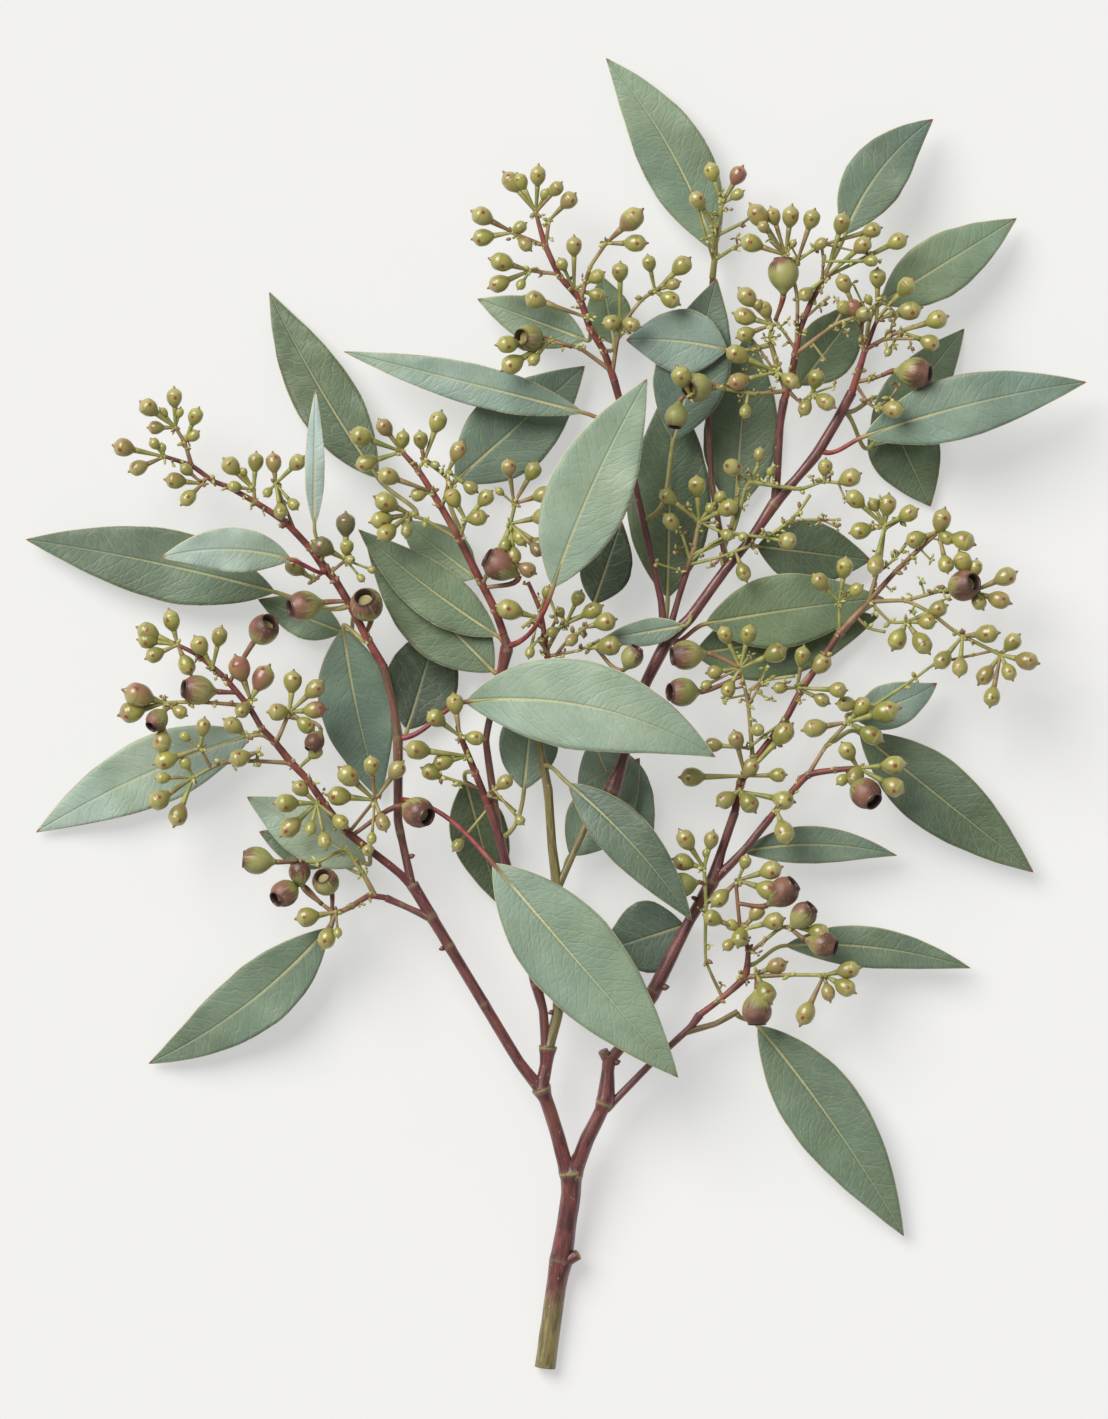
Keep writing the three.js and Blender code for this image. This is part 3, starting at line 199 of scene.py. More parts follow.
# Sprays: axes are (px, py, height, width in px) and start where a branch ends.
# A head is (px, py, lift over its axis, buds as (px, py, width in px)). A nut is
# (px, py, width in px, mouth direction in degrees, stalk root px, stalk root py), and a high one's lift.
SPRAYS = {
    "spray_a": {
        "axes": [
            [
                (388, 864, 22, 8), (370, 850, 23, 8), (345, 830, 24, 8), (325, 805, 25, 8),
                (308, 780, 26, 7), (291, 762, 27, 8), (275, 742, 27.5, 7), (262, 728, 28, 6),
                (250, 708, 28, 6), (225, 678, 28, 6), (198, 655, 28, 5), (180, 646, 28, 4),
            ],
            [(248, 706, 28, 5), (215, 703, 30, 4), (190, 702, 31, 4), (165, 703, 31, 4)],
            [(291, 764, 27, 5), (255, 761, 29, 4), (222, 763, 30, 5), (195, 777, 30, 3)],
            [(277, 740, 27.5, 5), (262, 735, 28, 4), (248, 737, 29, 4)],
            [(278, 742, 27.5, 5), (290, 712, 29, 4)],
        ],
        "heads": [
            (178, 645, 0, [(148, 632, 19), (172, 621, 17), (155, 655, 16)]),
            (213, 668, 1, [(200, 645, 18), (220, 637, 16)]),
            (165, 703, 0, [(140, 695, 24), (132, 712, 22)]),
            (251, 700, 1, [(263, 678, 22), (240, 668, 22)]),
            (290, 712, 0, [(293, 681, 19), (315, 689, 18)]), (248, 736, 0, [(234, 726, 17)]),
            (201, 748, 3, [(167, 760, 19)]), (194, 777, 0, [(160, 800, 20), (179, 815, 19)]),
            (258, 752, 2, [(240, 758, 18)]), (317, 803, 1, [(287, 803, 19), (291, 827, 19)]),
            (375, 800, 5, [(349, 776, 20), (339, 796, 20), (397, 770, 17)]),
        ],
        "nuts": [
            (158, 720, 22, 230, 178, 706), (198, 690, 30, 175, 232, 697), (264, 630, 30, 50, 238, 676),
            (315, 742, 20, 240, 292, 718), (418, 812, 31, 335, 372, 810, 9),
        ],
    },
    "spray_b": {
        "axes": [
            [
                (383, 665, 22, 8), (368, 640, 23, 8), (350, 605, 24, 8), (335, 580, 25, 8),
                (325, 568, 25, 9), (310, 548, 26, 7), (285, 522, 27, 7), (255, 502, 28, 6),
                (228, 487, 28, 5), (213, 481, 28, 5), (192, 466, 28, 5), (166, 457, 28, 4),
            ],
            [(192, 466, 28, 5), (185, 443, 29, 4), (176, 428, 29, 4)],
            [(255, 503, 28, 4), (254, 490, 29, 4)],
            [(296, 533, 27, 4), (284, 503, 28, 3), (276, 484, 29, 3)],
        ],
        "heads": [
            (165, 457, 0, [(124, 448, 19), (139, 468, 16)]),
            (176, 428, 0, [(149, 408, 18), (175, 398, 16)]), (185, 443, 0, [(196, 417, 15)]),
            (203, 484, 1, [(176, 481, 17)]), (254, 490, 0, [(231, 466, 18), (256, 462, 16)]),
            (276, 484, 0, [(274, 463, 16)]), (346, 560, 2, [(346, 524, 20)]),
            (314, 580, -1, [(295, 567, 18)]),
        ],
        "nuts": [(304, 606, 31, 190, 346, 602), (367, 605, 33, 110, 368, 634)],
    },
    "spray_c": {
        "axes": [
            [
                (386, 898, 20.5, 6), (369, 896, 21.5, 6), (352, 906, 23, 6), (336, 913, 24, 5),
                (322, 904, 25, 4),
            ],
            [
                (375, 900, 20.5, 6), (362, 872, 22, 5), (345, 850, 23, 4), (318, 862, 26, 3),
                (298, 861, 27, 3),
            ],
        ],
        "heads": [(336, 912, 1, [(307, 917, 20), (327, 938, 18)])],
        "nuts": [
            (257, 860, 28, 175, 284, 861), (300, 872, 22, 100, 318, 895), (285, 893, 27, 215, 312, 890),
            (326, 882, 27, 120, 334, 908),
        ],
    },
    "spray_d": {
        "axes": [
            [
                (503, 632, 22.5, 8), (495, 610, 24, 8), (481, 582, 25, 8), (460, 540, 26.5, 8),
                (440, 505, 28, 7), (418, 470, 28, 6), (402, 452, 28, 5),
            ],
            [(483, 584, 25, 5), (499, 550, 29, 4), (510, 525, 29, 4), (516, 500, 29, 4)],
            [(460, 541, 26.5, 4), (425, 520, 27, 4), (408, 514, 27, 3)],
            [(442, 508, 28, 4), (448, 480, 29, 4), (425, 461, 29, 3)],
            [(462, 538, 27, 4), (466, 520, 28, 3)],
        ],
        "heads": [
            (402, 452, 0, [(361, 437, 20), (385, 428, 16)]), (424, 462, 0, [(438, 422, 18)]),
            (448, 472, 0, [(458, 452, 17)]), (432, 492, 1, [(389, 477, 18)]),
            (410, 514, 0, [(387, 503, 20)]), (466, 520, 0, [(453, 498, 17), (486, 498, 16)]),
            (514, 504, 0, [(509, 468, 16), (533, 471, 17), (543, 495, 17)]),
            (510, 524, 0, [(543, 517, 18)]),
        ],
        "nuts": [(500, 565, 32, 150, 481, 590)],
    },
    "spray_e": {
        "axes": [
            [(488, 805, 21, 8), (475, 772, 23, 7), (462, 740, 25, 6), (457, 726, 26, 4)],
            [(482, 790, 22, 4), (460, 782, 25, 3), (440, 776, 26, 3)],
            [(484, 795, 21, 5), (502, 800, 23, 3), (516, 812, 23, 3)],
        ],
        "heads": [
            (460, 736, 6, [(455, 703, 18), (436, 718, 18)]),
            (468, 756, 2, [(418, 750, 20), (443, 762, 17)]), (440, 776, 0, [(431, 772, 17)]),
            (494, 790, 2, [(505, 782, 15)]),
        ],
        "nuts": [],
    },
    "spray_f": {
        "axes": [
            [(548, 662, 21, 7), (546, 645, 22, 6), (540, 610, 23, 5), (528, 582, 24, 4)],
            [(549, 650, 22, 5), (562, 625, 24, 4), (590, 612, 26, 3)],
            [(550, 656, 22, 4), (580, 650, 25, 3), (600, 640, 26, 3)],
        ],
        "heads": [
            (538, 618, 1, [(510, 610, 21)]), (566, 624, 1, [(592, 611, 17)]),
            (584, 628, 5, [(606, 622, 19)]), (590, 648, 6, [(610, 646, 20)]),
        ],
        "nuts": [(632, 657, 22, 60, 596, 652, 7)],
    },
    "spray_g": {
        "axes": [
            [
                (735, 812, 21, 8), (741, 782, 22, 8), (757, 757, 23, 7), (785, 720, 24, 7),
                (800, 692, 25, 7), (825, 655, 26, 7), (840, 633, 27, 8), (868, 602, 28, 6),
                (895, 572, 28, 5), (920, 548, 29, 5), (938, 532, 29, 4),
            ],
            [(748, 760, 23, 5), (748, 705, 27, 4), (740, 668, 28, 4)],
            [(840, 634, 27, 4), (839, 602, 29, 4)],
            [(868, 602, 28, 5), (880, 560, 29, 4), (884, 526, 30, 4)],
            [
                (868, 602, 28, 5), (905, 601, 29, 4), (930, 613, 30, 4), (955, 632, 30, 4),
                (1000, 655, 30, 4),
            ],
            [(905, 601, 29, 4), (945, 590, 30, 4), (972, 592, 30, 3)],
            [(870, 604, 28, 4), (890, 622, 29, 3), (906, 622, 30, 3)],
        ],
        "heads": [
            (740, 668, 0, [(748, 635, 16), (776, 653, 20)]),
            (797, 688, 1, [(802, 657, 16), (838, 690, 16)]),
            (745, 776, 3, [(783, 734, 20), (692, 777, 20)]),
            (740, 790, 3, [(725, 800, 18), (749, 803, 19)]),
            (839, 602, 0, [(820, 582, 17), (844, 568, 17)]),
            (884, 526, 0, [(887, 505, 18), (908, 514, 17), (860, 531, 18)]),
            (938, 532, 0, [(941, 521, 19), (963, 541, 20)]),
            (972, 592, 0, [(1005, 577, 19), (998, 600, 18)]),
            (962, 636, 0, [(986, 634, 19), (959, 667, 16)]),
            (1000, 655, 0, [(1026, 661, 19), (991, 697, 17)]),
            (906, 622, 0, [(897, 640, 19), (921, 643, 19)]),
        ],
        "nuts": [
            (686, 655, 30, 185, 730, 664), (682, 692, 29, 180, 741, 676), (963, 586, 31, 20, 940, 590),
        ],
    },
    "spray_h": {
        "axes": [
            [
                (770, 818, 21, 7), (785, 800, 22, 7), (808, 775, 23, 7), (835, 770, 24, 6),
                (855, 768, 25, 5),
            ],
            [(808, 776, 23, 5), (826, 746, 24, 4), (848, 722, 26, 4)],
        ],
        "heads": [
            (788, 796, 3, [(784, 800, 19)]), (777, 811, 2, [(784, 832, 20)]),
            (848, 722, 0, [(885, 712, 22), (871, 735, 19), (815, 728, 19)]),
            (858, 768, 0, [(893, 765, 19), (894, 787, 20), (855, 777, 18)]),
        ],
        "nuts": [(865, 793, 31, 315, 846, 768)],
    },
    "spray_j": {
        "axes": [
            [
                (614, 380, 23, 8), (604, 352, 24, 7), (590, 328, 25, 7), (580, 300, 26, 7),
                (560, 277, 27, 6), (545, 245, 28, 6), (536, 214, 29, 4),
            ],
            [(612, 370, 23, 5), (580, 349, 26, 4), (548, 341, 28, 3)],
            [(613, 374, 23, 5), (620, 330, 27, 4), (642, 300, 28, 4), (665, 285, 29, 3)],
            [(580, 301, 26, 5), (590, 268, 29, 4), (606, 244, 30, 4)],
            [(545, 247, 28, 4), (514, 234, 29, 4)],
            [(558, 275, 27, 4), (530, 271, 28, 4)],
            [(546, 246, 28, 4), (549, 221, 29, 4)],
        ],
        "heads": [
            (536, 213, 0, [(512, 183, 18), (538, 177, 16)]), (549, 221, 0, [(569, 201, 17)]),
            (513, 233, 0, [(482, 217, 19), (483, 238, 18)]),
            (530, 271, 0, [(502, 263, 19), (499, 284, 18)]), (574, 290, 0, [(574, 247, 16)]),
            (606, 244, 0, [(631, 221, 22), (635, 244, 18)]), (588, 318, 1, [(535, 300, 18)]),
            (549, 342, 0, [(508, 345, 18), (512, 365, 20)]), (620, 322, 0, [(620, 272, 17)]),
            (655, 292, 0, [(682, 266, 19), (670, 300, 17)]),
        ],
        "nuts": [(529, 338, 28, 180, 572, 347)],
    },
    "spray_k": {
        "axes": [
            [(687, 570, 22, 6), (694, 548, 23, 5), (699, 522, 24, 4)],
            [(690, 560, 22, 4), (682, 535, 24, 3), (676, 528, 25, 3)],
        ],
        "heads": [
            (699, 522, 0, [(697, 486, 18), (668, 497, 16), (728, 508, 18)]),
            (676, 528, 0, [(671, 522, 16)]),
        ],
        "nuts": [],
    },
    "spray_l": {
        "axes": [
            [
                (784, 400, 22.5, 8), (790, 383, 24, 8), (795, 355, 26, 7), (800, 330, 27, 6),
                (812, 300, 28, 6), (825, 278, 29, 4),
            ],
            [(787, 392, 23, 7), (777, 365, 25, 6), (770, 340, 27, 5), (772, 325, 28, 4)],
            [(797, 350, 26, 4), (797, 300, 30, 4), (790, 264, 31, 3)],
            [(797, 355, 26, 5), (835, 325, 31, 4), (855, 318, 32, 3)],
            [(788, 391, 23, 5), (755, 394, 28, 4), (715, 388, 30, 3)],
            [(788, 390, 23, 5), (800, 402, 25, 3), (812, 394, 26, 3)],
        ],
        "heads": [
            (785, 256, 0, [(790, 218, 17), (758, 217, 20), (751, 244, 19)]),
            (797, 262, 0, [(811, 220, 17)]),
            (825, 278, 0, [(841, 225, 17), (897, 242, 17), (862, 246, 17)]),
            (772, 325, 0, [(747, 298, 18), (745, 317, 18), (745, 335, 16)]),
            (776, 372, 2, [(737, 355, 19), (738, 382, 18), (790, 381, 16)]),
            (812, 394, 0, [(816, 379, 17), (825, 402, 17)]), (858, 318, 0, [(843, 284, 16)]),
            (690, 396, 4, [(681, 377, 20)]),
        ],
        "nuts": [
            (783, 274, 31, 90, 779, 318), (697, 388, 29, 195, 730, 391), (676, 417, 23, 260, 690, 398),
        ],
    },
    "spray_m": {
        "axes": [
            [(852, 392, 22.5, 8), (859, 370, 24, 7), (865, 350, 25, 6), (876, 322, 26, 4)],
            [(855, 382, 23, 5), (872, 379, 24, 4), (886, 374, 25, 3)],
            [(866, 350, 25, 5), (890, 336, 26, 4), (914, 326, 27, 3)],
            [(855, 383, 23, 4), (868, 403, 24, 3), (876, 408, 26, 3)],
        ],
        "heads": [
            (877, 319, 0, [(877, 278, 17), (906, 287, 18), (909, 311, 20)]),
            (900, 332, 0, [(937, 320, 19), (930, 343, 17)]), (876, 408, 4, [(893, 410, 18)]),
        ],
        "nuts": [(915, 373, 31, 355, 882, 376)],
    },
    "spray_n": {
        "axes": [
            [(713, 275, 14, 7), (715, 255, 17, 6), (716, 235, 20, 5), (722, 205, 22, 4)],
            [(716, 236, 20, 4), (744, 222, 21, 3)],
            [(715, 260, 16, 4), (736, 246, 20, 3)],
        ],
        "heads": [(722, 204, 0, [(712, 172, 16), (738, 175, 17)]), (714, 226, 1, [(698, 201, 17)])],
        "nuts": [],
    },
    "spray_q": {
        "axes": [
            [
                (700, 1015, 16, 7), (720, 1000, 17, 6), (745, 977, 18, 8), (748, 950, 21, 5),
                (740, 925, 23, 4), (736, 885, 25, 4),
            ],
            [(722, 997, 17, 4), (706, 960, 20, 3), (706, 905, 23, 4), (704, 868, 25, 4)],
            [(745, 977, 18, 6), (790, 975, 21, 4), (825, 975, 23, 4)],
            [(748, 955, 21, 4), (780, 928, 24, 4), (792, 926, 25, 3)],
        ],
        "heads": [
            (704, 868, 0, [(686, 840, 18), (683, 862, 18)]),
            (738, 880, 0, [(771, 870, 19), (768, 890, 20), (720, 898, 17)]),
            (742, 930, 1, [(740, 938, 18), (774, 921, 18)]), (792, 926, 0, [(819, 932, 18)]),
            (756, 974, 1, [(777, 966, 17), (766, 993, 20)]),
            (824, 975, 0, [(848, 970, 18), (845, 987, 18), (806, 1013, 19)]),
        ],
        "nuts": [
            (682, 885, 25, 190, 706, 884), (783, 892, 30, 40, 752, 902), (803, 915, 26, 45, 786, 930),
            (823, 944, 27, 345, 790, 938), (757, 1010, 30, 270, 757, 984),
        ],
    },
}

# Buds that the solids leave out: (px, py, width in px), each on the umbel or twig nearest to it
INNER_BUDS = {
    "spray_a": [
        (148, 641, 16), (187, 665, 17), (181, 712, 14), (163, 741, 19), (315, 710, 18), (306, 725, 16),
        (316, 752, 14), (243, 710, 15), (204, 727, 15), (186, 737, 10), (278, 712, 18), (164, 778, 12),
        (186, 763, 12), (311, 828, 12), (325, 840, 14), (341, 822, 15), (372, 766, 16), (383, 822, 15),
        (372, 838, 10), (368, 850, 12), (300, 788, 16),
    ],
    "spray_b": [
        (163, 448, 8), (156, 428, 14), (164, 413, 9), (180, 413, 9), (194, 436, 12), (189, 498, 15),
        (187, 470, 12), (235, 487, 12), (244, 472, 8), (268, 493, 10), (281, 512, 14), (294, 505, 12),
        (323, 547, 20), (347, 547, 14), (350, 560, 10), (361, 578, 8), (372, 570, 8), (155, 444, 11),
        (298, 463, 16),
    ],
    "spray_c": [(338, 932, 9)],
    "spray_d": [
        (403, 440, 14), (367, 463, 18), (421, 440, 15), (435, 465, 8), (418, 495, 14), (382, 520, 18),
        (387, 533, 18), (407, 530, 12), (471, 488, 14), (478, 518, 17), (500, 492, 8), (520, 538, 14),
        (537, 550, 14), (514, 556, 15), (528, 570, 16), (540, 545, 15), (505, 545, 12),
    ],
    "spray_e": [(475, 738, 15), (458, 845, 12), (520, 820, 10)],
    "spray_f": [
        (578, 598, 14), (560, 612, 10), (572, 640, 12), (547, 592, 11), (530, 652, 10), (552, 632, 11),
    ],
    "spray_g": [
        (856, 590, 14), (873, 505, 12), (855, 500, 17), (875, 565, 17), (915, 540, 18), (946, 538, 14),
        (962, 562, 19), (975, 568, 14), (945, 565, 16), (978, 602, 15), (938, 609, 17), (927, 622, 16),
        (1012, 642, 17), (1008, 672, 15), (985, 675, 17), (942, 660, 17), (725, 635, 15), (714, 672, 14),
        (728, 690, 15), (706, 685, 10), (821, 664, 19), (846, 704, 16), (822, 700, 14), (780, 688, 12),
        (750, 768, 17), (736, 740, 16), (713, 745, 15), (757, 730, 13), (778, 775, 15), (784, 800, 19),
    ],
    "spray_h": [(842, 780, 12), (847, 751, 17), (862, 706, 18)],
    "spray_j": [
        (521, 182, 14), (545, 195, 10), (556, 190, 14), (520, 228, 13), (525, 245, 13), (521, 285, 10),
        (562, 265, 12), (534, 360, 12), (597, 277, 15), (597, 295, 14), (649, 264, 14), (673, 285, 12),
        (631, 325, 15), (612, 323, 16),
    ],
    "spray_k": [
        (720, 497, 12), (710, 508, 10), (733, 468, 18), (759, 455, 12), (770, 472, 8), (825, 467, 15),
        (850, 478, 19), (787, 541, 18), (743, 572, 15), (727, 535, 12), (743, 537, 10),
    ],
    "spray_l": [
        (773, 217, 15), (763, 228, 12), (792, 245, 8), (872, 231, 16), (820, 245, 12), (870, 262, 12),
        (765, 310, 14), (758, 305, 10), (745, 412, 12), (805, 295, 14), (843, 308, 14), (853, 308, 16),
        (862, 315, 14), (805, 408, 14),
    ],
    "spray_m": [(868, 300, 9), (888, 352, 8)],
    "spray_n": [(737, 195, 12)],
    "spray_q": [
        (711, 840, 15), (706, 853, 8), (745, 862, 12), (757, 912, 16), (712, 918, 17), (728, 945, 12),
        (732, 925, 12), (828, 992, 14),
    ],
}

# Thin twigs that the solids leave out, drawn as the axes are
INNER_TWIGS = {
    "spray_k": [
        [(726, 566, 22, 5), (731, 535, 24, 4), (745, 490, 26, 4), (757, 468, 27, 4)],
        [(779, 498, 23, 5), (800, 489, 25, 4), (822, 482, 26, 3), (838, 483, 27, 3)],
        [(752, 540, 22, 4), (768, 538, 24, 3), (782, 541, 25, 3)],
        [(735, 519, 24, 3), (738, 492, 25, 3), (739, 470, 26, 2)],
        [(765, 540, 24, 3), (785, 525, 25, 3), (800, 510, 25, 3), (810, 495, 26, 3)],
        [(765, 522, 23, 3), (790, 521, 25, 2), (822, 520, 26, 2)],
        [(690, 562, 22, 4), (710, 545, 24, 3), (724, 537, 25, 3)],
        [(693, 566, 22, 4), (720, 557, 24, 3), (752, 545, 24, 3)],
    ],
    "spray_l": [
        [(775, 378, 23, 4), (760, 371, 27, 3), (748, 361, 28, 3)],
        [(776, 378, 23, 3), (757, 346, 26, 3), (749, 337, 27, 3)],
        [(797, 352, 25, 4), (782, 330, 27, 3), (775, 320, 28, 3)],
        [(803, 318, 27, 3), (820, 305, 28, 3), (829, 297, 29, 3)],
        [(800, 257, 30, 3), (815, 250, 31, 3), (824, 245, 31, 3)],
        [(822, 285, 28, 3), (823, 262, 30, 3), (821, 246, 31, 2)],
        [(836, 328, 31, 3), (843, 311, 31, 3)],
    ],
    "spray_m": [
        [(864, 352, 25, 5), (861, 336, 26, 4), (860, 322, 27, 4), (866, 312, 28, 3)],
        [(868, 352, 25, 3), (885, 340, 27, 3), (915, 339, 28, 3)],
        [(888, 336, 26, 3), (893, 322, 28, 3), (898, 315, 29, 3)],
        [(876, 408, 26, 3), (890, 398, 27, 2), (900, 384, 27, 2)],
    ],
    "spray_g": [
        [(990, 655, 30, 3), (935, 664, 29, 3), (915, 678, 28, 3), (875, 705, 26, 4)],
        [(745, 716, 26, 3), (750, 690, 27, 3), (768, 680, 28, 3), (795, 676, 29, 3)],
        [(748, 705, 27, 3), (757, 690, 28, 3), (768, 665, 29, 3)],
        [(860, 620, 28, 3), (868, 628, 28, 3), (885, 632, 29, 3)],
        [(878, 575, 29, 3), (893, 560, 29, 3), (905, 545, 30, 3)],
        [(884, 530, 30, 3), (900, 520, 30, 3), (906, 515, 30, 3)],
        [(785, 722, 24, 3), (765, 735, 26, 3), (748, 748, 26, 3)],
    ],
    "spray_f": [
        [(550, 656, 22, 4), (538, 641, 26, 3), (530, 650, 27, 3)],
        [(546, 640, 22, 4), (556, 618, 26, 3), (549, 597, 27, 3)],
        [(556, 652, 24, 4), (573, 634, 28, 3), (586, 633, 29, 3)],
        [(544, 628, 23, 4), (530, 622, 26, 3), (522, 628, 26, 3)],
    ],
    "spray_n": [
        [(744, 222, 21, 3), (751, 217, 28, 3)],
        [(736, 246, 20, 3), (745, 244, 28, 3)],
        [(714, 262, 16, 3), (706, 238, 22, 2), (698, 208, 25, 2)],
    ],
}

# Tufts of scales on side stalks: (px, py)
TUFTS = {
    "spray_l": [
        (822, 245), (838, 242), (790, 246), (768, 240), (787, 322), (797, 326), (776, 338), (765, 338),
        (752, 347), (826, 362), (835, 386), (846, 334), (756, 352), (868, 255), (877, 262), (853, 262),
        (800, 318), (745, 372),
    ],
    "spray_m": [
        (882, 298), (887, 306), (852, 283), (835, 300), (893, 345), (885, 335), (910, 347), (868, 315),
        (890, 312), (872, 400), (895, 385),
    ],
    "spray_n": [(722, 192), (728, 210), (711, 214), (736, 238)],
    "spray_k": [
        (672, 522), (668, 515), (709, 507), (688, 508), (715, 523), (655, 563), (712, 567), (675, 550),
        (680, 572), (765, 532), (768, 474), (775, 468), (748, 473), (752, 545), (812, 478), (824, 515),
        (835, 520), (820, 522), (838, 528), (845, 500), (830, 475),
    ],
    "spray_g": [
        (845, 592), (737, 655), (750, 655), (742, 685), (728, 690), (765, 668), (760, 685), (785, 684),
        (797, 685), (880, 500), (873, 525), (890, 590), (905, 565), (915, 560), (920, 580), (905, 620),
        (912, 610), (945, 600), (930, 560), (770, 700), (755, 720), (722, 700), (776, 745), (800, 700),
    ],
}

# How much redder than most a spray's twigs are
REDNESS = {
    "spray_n": -0.75, "spray_k": -0.45, "spray_d": -0.05, "spray_q": -0.2, "spray_c": -0.3,
    "spray_l": -0.1, "spray_g": -0.15, "spray_f": -0.1,
}

# Buds that are unlike most in ripeness: 0 pale, 1.5 blushed, 2 dried
RIPE_BUDS = {
    (346, 524): 2.0, (323, 547): 2.0, (140, 695): 1.5, (132, 711): 1.5, (263, 678): 1.4, (240, 668): 1.4,
    (315, 710): 1.5, (631, 221): 1.4, (853, 308): 1.4, (893, 410): 0.0, (774, 921): 0.0, (537, 550): 1.8,
    (915, 540): 1.6, (855, 775): 1.6, (280, 741): 1.6, (728, 172): 1.4, (738, 174): 1.4,
}

# How far each open nut's mouth turns up to the viewer; the others turn up a little
NUT_TILTS = {
    (367, 605): 1.6, (418, 812): 0.9, (264, 630): 0.9, (198, 690): 0.35, (158, 720): 0.6, (285, 893): 0.7,
    (257, 860): 0.0, (865, 793): 0.7, (304, 606): 0.35, (783, 274): -0.1, (682, 692): 0.5,
    (326, 882): 1.4, (757, 1010): 0.1, (697, 388): 1.2, (529, 338): 1.3, (963, 586): 1.0,
}

# How blushed the open nuts are that differ from most: 0 green, 1 plum
NUT_BLUSH = {
    (529, 338): 0.0, (783, 274): 0.25, (697, 388): 0.1, (676, 417): 0.1, (257, 860): 0.15,
    (198, 690): 0.3, (264, 630): 0.8, (418, 812): 0.8, (865, 793): 0.8, (757, 1010): 0.8, (915, 373): 0.8,
    (823, 944): 0.7, (783, 892): 0.9, (500, 565): 0.9, (963, 586): 0.8, (315, 742): 1.2, (300, 872): 0.8,
    (285, 893): 0.7, (326, 882): 0.3, (158, 720): 0.4,
}

